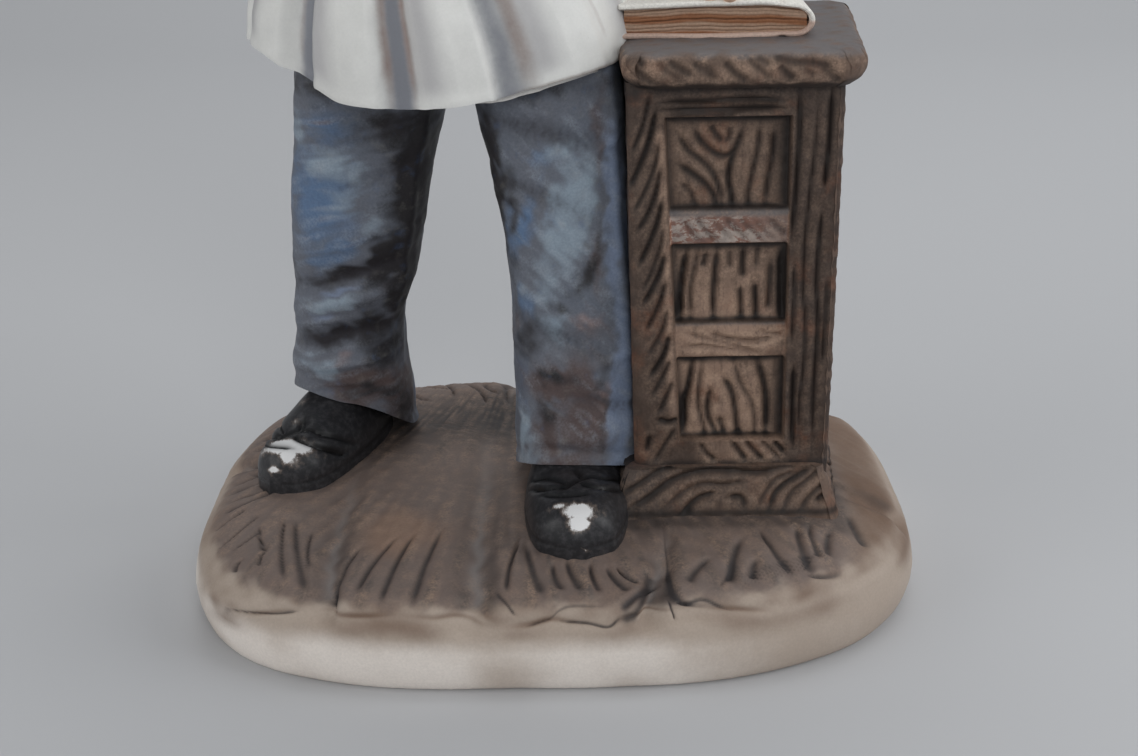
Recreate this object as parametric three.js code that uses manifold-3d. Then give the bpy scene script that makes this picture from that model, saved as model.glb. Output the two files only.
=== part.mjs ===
// Bisque figurine of a dentist in a white coat. The figure stands on a flagstone base, beside a
// small panelled cabinet with a closed book on it. It is cast as one piece, so it is one solid.
// Millimetres, +Z up, the viewer stands at -Y, the origin is the middle of the underside.

import * as THREE from 'three';
import { ParametricGeometry } from 'three/addons/geometries/ParametricGeometry.js';
import { mergeVertices } from 'three/addons/utils/BufferGeometryUtils.js';
import Module from 'manifold-3d';

const wasm = await Module();
wasm.setup();

// Driving dimensions

const BASE_HALF_WIDTH = 65.7;
const BASE_HALF_DEPTH = 51.5;
const BASE_TOP = 17.4;
// Side of the base from the foot to the middle of the top: inset from the widest outline, height
const BASE_PROFILE = [
  [2.6, 0], [1.0, 1.2], [0, 5.8], [1.2, 10.6], [2.5, 12.3], [4.4, 14.2], [8.2, 15.7],
  [14, 16.6], [27, 17.1],
];
// Joints between the flagstones: rim end, inner end, half width, depth
const STONE_JOINTS = [
  { rim: [-38, -44], end: [-37, -6], width: 1.9, depth: 2.6 },
  { rim: [-13, -48], end: [-12.6, 14], width: 2.6, depth: 1.5 },
  { rim: [16.5, -45.5], end: [19.5, -29], width: 1.7, depth: 2.8 },
  { rim: [60, -16], end: [50, -12], width: 1.9, depth: 1.6 },
  { rim: [58, 30], end: [48, 24], width: 2.2, depth: 1.8 },
  { rim: [28, 50], end: [25, 30], width: 2.0, depth: 2.0 },
  { rim: [-8, 51], end: [-10, 16], width: 2.2, depth: 1.6 },
  { rim: [-42, 46], end: [-36, 30], width: 1.9, depth: 2.2 },
  { rim: [-65, 8], end: [-46, 4], width: 2.1, depth: 1.8 },
];

const PLINTH = { left: 10.6, right: 49.4, front: -22, back: 26, foot: 12, top: 25.6, batter: 2.3 };
// The body's left side leans a little against the figure's leg
const CABINET = { leftFoot: 14.5, leftTop: 12.9, right: 48, front: -18.5, back: 22.5, foot: 20, top: 93.5 };
const SLAB = { left: 12.2, right: 51, front: -22.4, back: 28.4, foot: 92.4, top: 98.5 };
// The cabinet's right side runs outwards to the back by this share of the depth
const CABINET_FLARE = 0.105;
// Edge of the slab from below: inset from its widest outline, height above its foot
const SLAB_EDGE = [[2.2, 0], [0.7, 1.3], [0, 3.1], [0.2, 4.9], [1.7, 5.9], [6, 6.1]];
const SLAB_SQUARE = 0.16;
// Front recess: its left side leans, as the hand-cut frame does
const RECESS = { topLeft: 19.3, footLeft: 22.2, topRight: 39.4, footRight: 40, foot: 30.1, top: 87.2 };
const RECESS_DEPTH = 2.2;
const RAILS = [[45.2, 51.8], [65.6, 71.8]];
const RAIL_STEP = 0.7;
const SIDE_RECESS = { front: -12.5, back: 16.5, foot: 31, top: 86, depth: 1.2, rail: [56, 62] };

const BOOK = { left: 12.4, right: 44.5, front: -9.6, back: 15, foot: 98.2, thick: 6.3, turn: -1 };
const BOOK_COVER = 0.95;
const PAGE_INSET = 0.9;

// Legs: height, middle x, middle y, half width, half depth
const RIGHT_LEG = [
  [17, 5.3, -5, 12, 11.2], [24, 5.3, -5, 12, 11.2], [34, 5, -4.6, 11.6, 11],
  [47, 4.5, -4.2, 11.2, 11], [59, 3.8, -3.8, 11, 11.2], [68, 2.9, -3.2, 11.3, 11.7],
  [77, 2, -2.6, 11.9, 12.3], [88, 0.6, -2, 12.9, 13], [97, -0.8, -1.4, 13.4, 13.4],
];
const LEFT_LEG = [
  [17, -38.4, 17.9, 11, 11.6], [28, -38.8, 16.6, 11.2, 11.2], [36, -39, 15.4, 10.6, 10.6],
  [44, -38, 14, 10.3, 10.3], [52, -36.4, 12.4, 11.2, 11], [60, -35.2, 11, 11.9, 11.6],
  [68, -34.2, 9.6, 12.4, 12.1], [76, -32.6, 8.4, 12.5, 12.5], [86, -30.8, 6.6, 13.4, 13.1],
  [97, -28.8, 4.8, 14, 13.4],
];
const LEG_SQUARE = 2.8;
const MM_PER_DEGREE = 0.19;
// Hem of each trouser leg: highest and lowest point, and where the highest lies, in degrees from the front
const RIGHT_HEM = { high: 24.8, low: 17, turn: -8 };
const LEFT_HEM = { high: 30.4, low: 17.4, turn: -48 };
// Trouser folds: height at the front, rise to the right, middle angle, reach in degrees, width, depth
const RIGHT_FOLDS = [
  [84, -0.30, -10, 60, 2.4, -0.9], [72, -0.42, -25, 55, 2.2, -0.8], [58, -0.35, 20, 50, 2.6, 0.7],
  [47, -0.42, -20, 55, 2.4, -0.8], [37, -0.30, 25, 50, 2.0, -0.7], [30, 0.12, 0, 60, 2.0, 0.5],
];
const LEFT_FOLDS = [
  [82, 0.30, 20, 60, 2.4, -0.6], [73, 0.36, 25, 60, 2.6, -0.5], [62, 0.34, 10, 60, 2.6, 0.6],
  [55, 0.30, 10, 65, 1.9, -1.0], [49.4, 0.24, -5, 70, 1.8, 1.0], [42.4, 0.16, 0, 70, 1.8, -1.0],
  [36.4, 0.08, -15, 70, 1.8, 0.9],
];

// Shoes along their length from heel to toe: share of the length, half width, height
const RIGHT_SHOE = [
  [0, 4.2, 8], [0.06, 6, 9], [0.2, 7.8, 9], [0.4, 9.2, 9], [0.47, 9.4, 8.2], [0.53, 9.6, 7],
  [0.62, 9.6, 7.4], [0.75, 9.1, 8], [0.87, 8, 7.4], [0.95, 6.2, 6.2], [1, 3.4, 4.6],
];
const LEFT_SHOE = [
  [0, 4.2, 8], [0.06, 6, 10], [0.2, 8, 12], [0.42, 9.2, 12.4], [0.58, 9.4, 10.8], [0.74, 9, 9.2],
  [0.87, 7.9, 7.8], [0.95, 5.6, 6.6], [1, 3.2, 5],
];
// Height of the sole's edge, and how far the shoe runs down into the base
const SHOE_FOOT = 17.5;
const SHOE_DEPTH = 4;
const SHOES = [
  { stations: RIGHT_SHOE, heel: [4, 5.4], turn: 0, length: 41.4, slim: 0.96 },
  { stations: LEFT_SHOE, heel: [-36.3, 24.6], turn: -23.5, length: 37, slim: 0.86 },
];

// Coat and shoulders: height, middle x, middle y, half width, half depth
const COAT = [
  [90, -17.5, 2, 31.4, 25.4], [98, -17.6, 2, 31.8, 25.2], [104, -18, 2.2, 31, 24.3],
  [112, -18.8, 2.6, 27.8, 21.8], [120, -19.8, 3, 23.8, 18.8], [128, -20.5, 3.5, 21, 16.7],
  [137, -21, 3.5, 21, 16.9], [146, -21, 3.5, 22.4, 17.3], [154, -21, 3.8, 23.4, 16.4],
  [160.5, -21, 4.3, 21.4, 14], [166, -21, 4.6, 16.4, 11], [170.5, -21, 4.7, 10.6, 8.8],
];
const COAT_FOOT = 91.6;
// Height of the hem at angles from the front, towards the viewer's right
const HEM = [
  [-180, 92], [-130, 93.6], [-100, 97], [-80, 98.4], [-60, 98], [-47, 95.6], [-34, 93.4],
  [-26, 91.7], [-12, 91], [4, 91.2], [13, 91.8], [22, 92.4], [38, 94.2], [63, 96],
  [82, 97.4], [100, 97.4], [130, 94.6], [180, 92],
];
// Flutes round the hem, in degrees from the front, towards the viewer's right
const FLUTES = [-154, -118, -80, -43.5, -9, 24, 62, 98, 134, 170];
// The flute beside the cabinet is only a shallow one
const SHALLOW_FLUTE = { number: 6, share: 0.25 };
// Lean of the flutes: that of the one in front, its place in degrees, and how the lean grows away from it
const FLUTE_LEAN = { front: -7, middle: -9, spread: 0.5, reach: 95 };
const FLUTE_DEPTH = 0.055;
const FLUTE_DROP = 0.5;
const FLUTE_FADE = [108, 132];
// The skirt is fuller beside the cabinet: its flute line there, its reach along them, and how far it stands out
const FULL_SIDE = { line: 5.75, reach: 0.5, swell: 1.4 };
const TORSO_SQUARE = 0.1;
const TORSO_RISE = [120, 150];
// How far the coat's underside is hollowed at its middle
const COAT_HOLLOW = 3.6;

const COLLAR_DIP = 2.6;
const COLLAR = { foot: 162, top: 173.5, halfWidth: 9.8, halfDepth: 9.4 };
const NECK = { foot: 162, top: 180, radius: 6.9 };
const NECK_MIDDLE = [-21, 4.4];

// Sleeves: x, y, z and radius from the shoulder to the cuff
const RIGHT_SLEEVE = [
  [-35.6, 4.6, 158.6, 5], [-41.8, 4, 153.4, 8.2], [-47.2, 1.8, 143, 8.4], [-50, -0.6, 130.5, 8.1],
  [-47.2, -6.4, 127.6, 7.9], [-41, -13, 131.8, 7.3], [-35.6, -18.8, 136.6, 6.9],
];
const LEFT_SLEEVE = [
  [-6.4, 5, 158.6, 5], [-0.2, 5.2, 153.4, 8.2], [6, 8.6, 143.5, 8.4], [11.4, 12.4, 132, 8.1],
  [16.8, 11.6, 125.8, 7.8], [22, 8.2, 119.4, 7.2], [26.6, 4.8, 113.6, 6.8],
];
const SLEEVE_RINGS = { count: 5, depth: 0.4 };
// A direction that no sleeve runs along, from which its sections are turned
const SLEEVE_ACROSS = [0.94, 0.34, 0];

// Hands are built from rounded limbs: start, end, start radius, end radius
const RIGHT_HAND = [
  [[-36.4, -17.6, 136], [-32.6, -22.6, 140], 4.2, 4.6],
  [[-32.6, -22.6, 140], [-31, -25, 143.6], 4.6, 3.8],
  [[-34.6, -26.4, 144.6], [-29.6, -28.6, 145.4], 1.75, 1.6],
  [[-34.8, -26.4, 141.6], [-29.4, -28.8, 142.2], 1.8, 1.65],
  [[-34.8, -26, 138.6], [-29.8, -28.2, 139.2], 1.75, 1.6],
  [[-34.4, -25, 135.9], [-30.4, -27.2, 136.4], 1.6, 1.5],
  [[-30, -22, 141], [-28.6, -25, 146.4], 2, 1.5],
];
const LEFT_HAND = [
  [[25.6, 5.4, 114.4], [28.4, 2.6, 109.6], 4.2, 3.6],
  [[28.2, 2.6, 108.4], [30.6, -1.4, 106.6], 4.2, 3.4],
  [[27, -1.6, 106], [27.2, -8, 105.2], 1.6, 1.25],
  [[29.6, -1.8, 106], [30.3, -8.9, 105.2], 1.65, 1.3],
  [[32.1, -1.2, 106], [33.4, -8, 105.2], 1.6, 1.25],
  [[34, 0, 106], [36.2, -5.6, 105.2], 1.45, 1.15],
  [[26, 2.4, 106.8], [22.8, -3, 105.4], 1.7, 1.35],
];
const FORCEPS = [
  [[-31.2, -27.2, 131], [-31.9, -27.2, 138], 0.95, 1.1],
  [[-31.9, -27.2, 138], [-31.3, -27.2, 149.4], 1.1, 1.5],
  [[-33.8, -27.4, 131.4], [-32.6, -27.4, 138], 0.95, 1.1],
  [[-31.3, -27.2, 149.4], [-32.9, -27.4, 154.6], 1.6, 0.75],
  [[-31.3, -27.2, 149.4], [-29.5, -27.4, 154.6], 1.6, 0.75],
];
const TOOTH = { crown: [-31.2, -27.4, 156.6], radius: 2.3, height: 4.4 };

// Head in its own frame: the face looks to -Y, the origin is midway between chin and crown
const HEAD_PLACE = { centre: [-21, 1.4, 187.4], turn: -13, nod: 7 };
const HEAD_SQUARE = 0.92;
// Head: height, half width, front, back
const HEAD = [
  [-15.4, 1.4, -9.4, -6.4], [-14.6, 4, -11.2, -3.4], [-12.4, 6.4, -11.7, -0.4],
  [-9.5, 8, -11.5, 4.5], [-5.5, 9.2, -11.4, 9], [-1, 10.2, -11.1, 12], [4, 10.9, -11.5, 13.8],
  [8.5, 10.8, -10.9, 14], [12.5, 9, -8.2, 12.2], [15.2, 5.4, -3.8, 8.2], [16.1, 1.4, 0, 4],
];
// Features of the face: across, up, spread across, spread up, height. Those off the middle are mirrored
const FACE = [
  [4.1, 1.9, 2.5, 1.5, -1.3], [4.1, 1.3, 1.5, 0.9, 0.75], [3.9, 4.4, 2.9, 0.9, 0.55],
  [0, -7.6, 2.6, 0.7, 0.55], [0, -9.3, 2.2, 0.75, 0.6], [0, -13, 2.6, 1.5, 0.6],
  [5.6, -3.4, 2.4, 2.2, 0.5],
];
const NOSE = { root: [0, -10.2, 3], tip: [0, -11.7, -3], rootRadius: 1.1, tipRadius: 1.75, wing: 1.1 };
const EAR = { across: 10.4, along: 1.4, up: 0.4, halfWidth: 1.5, halfDepth: 2, halfHeight: 3.7 };
// Hair: its thickness, how far it sinks in below the hairline, the hairline's heights, and its locks
const HAIR = { thick: 1.3, sink: 1.4, brow: 9.2, temple: -1.5, nape: -9.6, locks: 10, lockDepth: 0.42 };
const HAIR_MIDDLE = [0, 1.2, 1];
const HEAD_REACH = 12;

// Garment details that stand on the coat: outlines as x, z
const RELIEF = 1.1;
const LAPEL_REACH = 40;
const LAPEL = [
  [-20.4, 166], [-16.4, 166.5], [-13.2, 158], [-15.8, 154.6], [-12.4, 152.6], [-20.2, 138.6], [-19.6, 150],
];

const EMBED = 1;
const DEGREE = Math.PI / 180;

// Facets round each form, and rows along it. The coat's follow its flutes, from one to the next
const FACETS = {
  base: 40, slab: 16, collar: 16, leg: [20, 14], shoe: [14, 10], sleeve: [12, 12], head: [24, 17],
  hair: [30, 9], finger: 6, forceps: 6,
  coat: { steps: [-0.1, 0.1, 0.3, 0.7], levels: [0, 0.05, 0.15, 0.27, 0.39, 0.52, 0.67, 0.8, 0.89, 0.95, 1] },
};

// Small tools

const bump = (x, spread) => Math.exp(-((x / spread) ** 2));
const fade = (x, start, end) => THREE.MathUtils.smoothstep(x, start, end);
// A cosine or sine drawn towards a squarer form by an exponent under 1
const rounded = (value, exponent) => Math.sign(value) * Math.abs(value) ** exponent;

// Smooth values between stations, each of which is a place followed by its values
function follow(stations, place) {
  const last = stations.length - 1;
  let i = 0;
  while (i < last - 1 && place > stations[i + 1][0]) i += 1;
  const start = stations[i];
  const end = stations[i + 1];
  const before = stations[Math.max(i - 1, 0)];
  const after = stations[Math.min(i + 2, last)];
  const step = end[0] - start[0];
  const s = THREE.MathUtils.clamp((place - start[0]) / step, 0, 1);
  return start.slice(1).map((value, k) => {
    const next = end[k + 1];
    const slopeIn = ((next - before[k + 1]) / (end[0] - before[0])) * step;
    const slopeOut = ((after[k + 1] - value) / (after[0] - start[0])) * step;
    const hermite = s * s * (3 - 2 * s);
    return value + (next - value) * hermite + slopeIn * s * (1 - s) ** 2 - slopeOut * s * s * (1 - s);
  });
}

// A closed three.js geometry as a solid, with its faces pointing out
function toSolid(geometry) {
  const bare = geometry.clone();
  bare.deleteAttribute('normal');
  bare.deleteAttribute('uv');
  const merged = mergeVertices(bare, 1e-4);
  const position = merged.attributes.position;
  const index = merged.index.array;
  const point = (i) => new THREE.Vector3().fromBufferAttribute(position, i);
  const triangles = [];
  let volume = 0;
  for (let t = 0; t < index.length; t += 3) {
    const [a, b, c] = [index[t], index[t + 1], index[t + 2]];
    if (a === b || b === c || c === a) continue;
    triangles.push([a, b, c]);
    volume += point(a).dot(point(b).cross(point(c)));
  }
  const outward = volume > 0 ? triangles : triangles.map(([a, b, c]) => [a, c, b]);
  return new wasm.Manifold(new wasm.Mesh({
    numProp: 3,
    vertProperties: new Float32Array(position.array),
    triVerts: new Uint32Array(outward.flat()),
  }));
}

// A closed surface over u, round the form, and v, from pole to pole
function surface(pointAt, around, rows) {
  const place = (u, v, target) => target.copy(pointAt(u, v));
  return toSolid(new ParametricGeometry(place, around, rows));
}

function placed(geometry, x, y, z, turn = 0) {
  geometry.rotateZ(turn * DEGREE);
  geometry.translate(x, y, z);
  return toSolid(geometry);
}

const join = (solids) => solids.reduce((whole, solid) => whole.add(solid));

// A limb with round ends: a capsule whose radius changes from start to end
function limb([start, end, startRadius, endRadius], sides = 8, capRows = 2) {
  const from = new THREE.Vector3(...start);
  const to = new THREE.Vector3(...end);
  const axis = to.clone().sub(from);
  const length = axis.length();
  const profile = [];
  for (let i = 0; i <= capRows; i += 1) {
    const angle = (i / capRows) * 90 * DEGREE;
    profile.push([startRadius * Math.sin(angle), -startRadius * Math.cos(angle)]);
  }
  for (let i = 0; i <= capRows; i += 1) {
    const angle = (i / capRows) * 90 * DEGREE;
    profile.push([endRadius * Math.cos(angle), length + endRadius * Math.sin(angle)]);
  }
  const points = profile.map(([r, h]) => new THREE.Vector2(Math.max(r, 0), h));
  const geometry = new THREE.LatheGeometry(points, sides);
  const turn = new THREE.Quaternion().setFromUnitVectors(new THREE.Vector3(0, 1, 0), axis.normalize());
  geometry.applyQuaternion(turn);
  geometry.translate(...start);
  return toSolid(geometry);
}

// A prism that stands in the x, z plane and runs along y
function prism(outline, front, back) {
  const shape = new THREE.Shape(outline.map(([x, z]) => new THREE.Vector2(x, z)));
  const geometry = new THREE.ExtrudeGeometry(shape, { depth: back - front, bevelEnabled: false });
  geometry.rotateX(90 * DEGREE);
  geometry.translate(0, back, 0);
  return toSolid(geometry);
}

function box(left, right, front, back, foot, top) {
  const geometry = new THREE.BoxGeometry(right - left, back - front, top - foot);
  return placed(geometry, (left + right) / 2, (front + back) / 2, (foot + top) / 2);
}

// Base

// Plan of the base: a rounded rectangle, rounder at the viewer's right-hand front corner
function baseRadius(angle) {
  const corner = Math.atan2(Math.sin(angle + 45 * DEGREE), Math.cos(angle + 45 * DEGREE));
  const n = 3.1 - 0.4 * bump(corner, 35 * DEGREE);
  const across = Math.abs(Math.cos(angle) / BASE_HALF_WIDTH) ** n;
  const along = Math.abs(Math.sin(angle) / BASE_HALF_DEPTH) ** n;
  return (across + along) ** (-1 / n);
}

// How deep the joints between the flagstones are at a point
function jointDepth(x, y) {
  let depth = 0;
  for (const { rim, end, width, depth: deepest } of STONE_JOINTS) {
    const run = [end[0] - rim[0], end[1] - rim[1]];
    const reach = Math.hypot(...run);
    const along = ((x - rim[0]) * run[0] + (y - rim[1]) * run[1]) / reach;
    const off = ((x - rim[0]) * run[1] - (y - rim[1]) * run[0]) / reach;
    const inner = 1 - 0.65 * fade(along, 0, reach) - 0.35 * fade(along, reach - 4, reach + 4);
    depth = Math.max(depth, deepest * inner * bump(off, width) * fade(along, -14, -6));
  }
  return depth;
}

// Angles of the base's vertices: even steps, with three at each joint
function baseAngles() {
  const angles = [];
  for (let i = 0; i < FACETS.base; i += 1) angles.push(-180 + (i * 360) / FACETS.base);
  for (const { rim, width } of STONE_JOINTS) {
    const middle = Math.atan2(rim[1], rim[0]) / DEGREE;
    const half = (width * 1.5) / Math.hypot(...rim) / DEGREE;
    for (let i = angles.length - 1; i >= 0; i -= 1) {
      if (Math.abs(angles[i] - middle) < half + 1.4) angles.splice(i, 1);
    }
    angles.push(middle - half, middle, middle + half);
  }
  return angles.sort((a, b) => a - b);
}

function makeBase() {
  const angles = baseAngles();
  const rows = [...BASE_PROFILE];
  const pointAt = (u, v) => {
    const angle = angles[Math.round(u * angles.length) % angles.length] * DEGREE;
    const row = Math.round(v * (rows.length + 1));
    if (row === 0) return new THREE.Vector3(0, 0, 0);
    if (row === rows.length + 1) return new THREE.Vector3(0, 0, BASE_TOP);
    const [inset, height] = rows[row - 1];
    const full = baseRadius(angle);
    const radius = inset > 20 ? full * 0.55 : full - inset;
    const pit = jointDepth(radius * Math.cos(angle), radius * Math.sin(angle));
    const side = fade(height, 10, 12) * (1 - fade(height, 15, 17));
    const top = fade(height, 12.6, 15.5);
    const r = radius - pit * side;
    return new THREE.Vector3(r * Math.cos(angle), r * Math.sin(angle), height - pit * top * 0.6);
  };
  return surface(pointAt, angles.length, rows.length + 1);
}

// Cabinet

// A block whose four sides lean in towards its top
function leaningBlock({ left, right, front, back, foot, top, batter }) {
  const geometry = new THREE.BoxGeometry(1, 1, 1);
  const position = geometry.attributes.position;
  for (let i = 0; i < position.count; i += 1) {
    const upper = position.getZ(i) > 0;
    const inset = upper ? batter : -batter;
    const x = position.getX(i) < 0 ? left + inset : right - inset;
    const y = position.getY(i) < 0 ? front + inset : back - inset;
    position.setXYZ(i, x, y, upper ? top : foot);
  }
  return toSolid(geometry);
}

// The slab on the cabinet: a rectangle with round corners and a full, moulded edge
function makeSlab() {
  const { left, right, front, back, foot, top } = SLAB;
  const middle = [(left + right) / 2, (front + back) / 2];
  const half = [(right - left) / 2, (back - front) / 2];
  const pointAt = (u, v) => {
    const row = Math.round(v * (SLAB_EDGE.length + 1));
    if (row === 0) return new THREE.Vector3(...middle, foot);
    if (row > SLAB_EDGE.length) return new THREE.Vector3(...middle, top);
    const [inset, rise] = SLAB_EDGE[row - 1];
    const angle = (u * 360 + 45) * DEGREE;
    const x = middle[0] + (half[0] - inset) * rounded(Math.cos(angle), SLAB_SQUARE);
    const y = middle[1] + (half[1] - inset) * rounded(Math.sin(angle), SLAB_SQUARE);
    return new THREE.Vector3(x, y, foot + rise);
  };
  return surface(pointAt, FACETS.slab, SLAB_EDGE.length + 1);
}

function makeCabinet() {
  const { leftFoot, leftTop, right, front, back, foot, top } = CABINET;
  const body = prism([[leftFoot, foot], [right, foot], [right, top], [leftTop, top]], front, back);
  const { topLeft, footLeft, topRight, footRight } = RECESS;
  const sideAt = (height) => {
    const s = (height - RECESS.foot) / (RECESS.top - RECESS.foot);
    return [THREE.MathUtils.lerp(footLeft, topLeft, s), THREE.MathUtils.lerp(footRight, topRight, s)];
  };
  const opening = [
    [footLeft, RECESS.foot], [footRight, RECESS.foot], [topRight, RECESS.top], [topLeft, RECESS.top],
  ];
  let cabinet = body.subtract(prism(opening, front - EMBED, front + RECESS_DEPTH));
  for (const [low, high] of RAILS) {
    const [lowLeft, lowRight] = sideAt(low);
    const [highLeft, highRight] = sideAt(high);
    const rail = [
      [lowLeft - EMBED, low], [lowRight + EMBED, low], [highRight + EMBED, high], [highLeft - EMBED, high],
    ];
    cabinet = cabinet.add(prism(rail, front + RAIL_STEP, front + RECESS_DEPTH + EMBED));
  }
  const { front: near, back: far, foot: low, top: high, depth, rail } = SIDE_RECESS;
  cabinet = cabinet.subtract(box(right - depth, right + EMBED, near, far, low, rail[0]));
  cabinet = cabinet.subtract(box(right - depth, right + EMBED, near, far, rail[1], high));
  return join([cabinet, leaningBlock(PLINTH), makeSlab()]).warp((point) => {
    const share = THREE.MathUtils.clamp((point[0] - SLAB.left) / (SLAB.right - SLAB.left), 0, 1);
    point[0] += CABINET_FLARE * (point[1] - SLAB.front) * share;
  });
}

// A closed book: a cover with a round spine at the right, and a page block set in from its edges
function makeBook() {
  const { left, right, front, back, foot, thick, turn } = BOOK;
  const width = right - left;
  const depth = back - front;
  const spine = thick / 2;
  const outline = new THREE.Shape();
  outline.moveTo(0, 0);
  outline.lineTo(width - spine, 0);
  outline.absarc(width - spine, spine, spine, -90 * DEGREE, 90 * DEGREE, false);
  outline.lineTo(0, thick);
  outline.lineTo(0, thick - BOOK_COVER);
  outline.lineTo(width - spine, thick - BOOK_COVER);
  outline.absarc(width - spine, spine, spine - BOOK_COVER, 90 * DEGREE, -90 * DEGREE, true);
  outline.lineTo(0, BOOK_COVER);
  const cover = new THREE.ExtrudeGeometry(outline, { depth, bevelEnabled: false, curveSegments: 5 });
  const pageDepth = depth - 2 * PAGE_INSET;
  const pages = new THREE.BoxGeometry(width - spine - PAGE_INSET + 1, pageDepth, thick - BOOK_COVER);
  cover.rotateX(90 * DEGREE);
  cover.translate(-width / 2, depth / 2, -thick / 2);
  pages.translate((PAGE_INSET - spine + 1) / 2, 0, 0);
  const middle = [(left + right) / 2, (front + back) / 2, foot + thick / 2];
  return placed(cover, ...middle, turn).add(placed(pages, ...middle, turn));
}

// Trousers and shoes

// How far the cloth stands out or in at a point of a leg, from its list of folds
function foldHeight(folds, angle, height) {
  let total = 0;
  for (const [level, rise, middle, reach, width, depth] of folds) {
    const off = angle - middle;
    const line = level + rise * angle * MM_PER_DEGREE;
    total += depth * bump(height - line, width) * bump(off, reach);
  }
  return total;
}

// A trouser leg: rounded square sections along a leaning line, with a flared hem over the shoe
function makeLeg(stations, folds, { high, low, turn }) {
  const [sides, rows] = FACETS.leg;
  const top = stations[stations.length - 1][0];
  const pointAt = (u, v) => {
    const angle = (u * 360 + 180) * DEGREE;
    const towardsHigh = Math.cos(angle + (90 - turn) * DEGREE);
    const hem = THREE.MathUtils.lerp(low, high, (towardsHigh + 1) / 2);
    const row = v * rows;
    const share = THREE.MathUtils.clamp((row - 2) / (rows - 3), 0, 1);
    const height = row < 0.5 ? (low + high) / 2 : THREE.MathUtils.lerp(hem, top, share);
    const [x, y, a, b] = follow(stations, height);
    const round = 2 / LEG_SQUARE;
    const c = rounded(Math.cos(angle), round);
    const s = rounded(Math.sin(angle), round);
    const fromFront = Math.atan2(c, -s) / DEGREE;
    const inner = [0, 0.8, 1][Math.min(Math.round(row), 2)];
    const closing = row > rows - 0.5 ? 0 : inner;
    const fold = foldHeight(folds, fromFront, height);
    const lift = row < 1.5 ? 1.2 : 0;
    return new THREE.Vector3(x + (a + fold) * c * closing, y + (b + fold) * s * closing, height + lift);
  };
  return surface(pointAt, sides, rows);
}

// A shoe lofted from heel to toe, flat below, with a full toe cap and a rise under the hem
function makeShoe({ stations, heel, turn, length, slim }) {
  const [sides, rows] = FACETS.shoe;
  const pointAt = (u, v) => {
    const share = 0.5 - 0.5 * Math.cos(v * 180 * DEGREE);
    const [halfWidth, height] = follow(stations, share);
    const pole = v < 0.01 || v > 0.99;
    const angle = u * 360 * DEGREE;
    const above = Math.sin(angle) > 0;
    const up = rounded(Math.sin(angle), above ? 0.9 : 0.5) * (above ? height : SHOE_DEPTH);
    const side = halfWidth * slim * rounded(Math.cos(angle), 0.8);
    const level = SHOE_FOOT + (pole ? height * 0.3 : up);
    return new THREE.Vector3(pole ? 0 : side, -share * length, level);
  };
  const place = (u, v, target) => target.copy(pointAt(u, v));
  return placed(new ParametricGeometry(place, sides, rows), heel[0], heel[1], 0, turn);
}

// Coat

// Angle of the flute line w at a height: the front flutes lean towards the closure as they rise
function fluteAngle(w, height) {
  const count = FLUTES.length;
  const turns = Math.floor(w / count);
  const k = w - turns * count;
  const i = Math.floor(k) % count;
  const next = i + 1 < count ? FLUTES[i + 1] : FLUTES[0] + 360;
  const hem = THREE.MathUtils.lerp(FLUTES[i], next, k - Math.floor(k));
  const wrapped = hem > 180 ? hem - 360 : hem;
  const s = THREE.MathUtils.clamp((height - COAT_FOOT) / 58, 0, 0.5);
  const { front, middle, spread, reach } = FLUTE_LEAN;
  return hem + s * (front - spread * (wrapped - middle)) * bump(wrapped, reach);
}

// The coat's surface at flute line w and a height, swollen outwards by a given amount
function coatPoint(w, height, swell, shrink = 1) {
  const angle = fluteAngle(w, height) * DEGREE;
  const [x, y, a, b] = follow(COAT, height);
  const off = Math.abs(w - Math.round(w));
  const share = Math.round(w) % FLUTES.length === SHALLOW_FLUTE.number ? SHALLOW_FLUTE.share : 1;
  const skirt = 1 - fade(height, ...FLUTE_FADE);
  const flute = FLUTE_DEPTH * skirt * (0.35 - 1.35 * share * (1 - fade(off, 0.09, 0.24)));
  const k = (1 + flute) * shrink;
  const out = swell + FULL_SIDE.swell * skirt * bump(w - FULL_SIDE.line, FULL_SIDE.reach);
  const round = 1 / (1 + TORSO_SQUARE * fade(height, ...TORSO_RISE));
  const s = rounded(Math.sin(angle), round);
  const c = rounded(Math.cos(angle), round);
  return new THREE.Vector3(x + (a * k + out) * s, y - (b * k + out) * c, height);
}

// Height of the hem at flute line w, which hangs a little lower in the flutes
function hemHeight(w) {
  const angle = fluteAngle(w, COAT_FOOT);
  const off = Math.abs(w - Math.round(w));
  const [height] = follow(HEM, angle > 180 ? angle - 360 : angle);
  return height - FLUTE_DROP * (1.4 - fade(off, 0.05, 0.3));
}

// The coat as a solid, swollen by a given amount. Its hem turns in to a hollowed underside
function makeCoat(swell) {
  const { steps, levels } = FACETS.coat;
  const [top, topX, topY] = COAT[COAT.length - 1];
  const [x, y] = follow(COAT, COAT_FOOT);
  const around = steps.length * FLUTES.length;
  const below = 3;
  const rows = levels.length + below;
  const pointAt = (u, v) => {
    const j = Math.round(u * around) % around;
    const w = Math.floor(j / steps.length) + steps[j % steps.length];
    const row = Math.round(v * rows);
    const hem = hemHeight(w);
    const inner = (hem + COAT_FOOT + 1.3 * COAT_HOLLOW) / 2;
    if (row === 0) return new THREE.Vector3(x, y, COAT_FOOT + COAT_HOLLOW);
    if (row === rows) return new THREE.Vector3(topX, topY, top + 1);
    if (row === 1) return coatPoint(w, hem, swell, 0.62).setZ(inner);
    if (row === 2) return coatPoint(w, hem, swell, 0.93).setZ(hem + 0.5);
    return coatPoint(w, THREE.MathUtils.lerp(hem, top, levels[row - below]), swell);
  };
  return surface(pointAt, around, rows);
}

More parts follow.
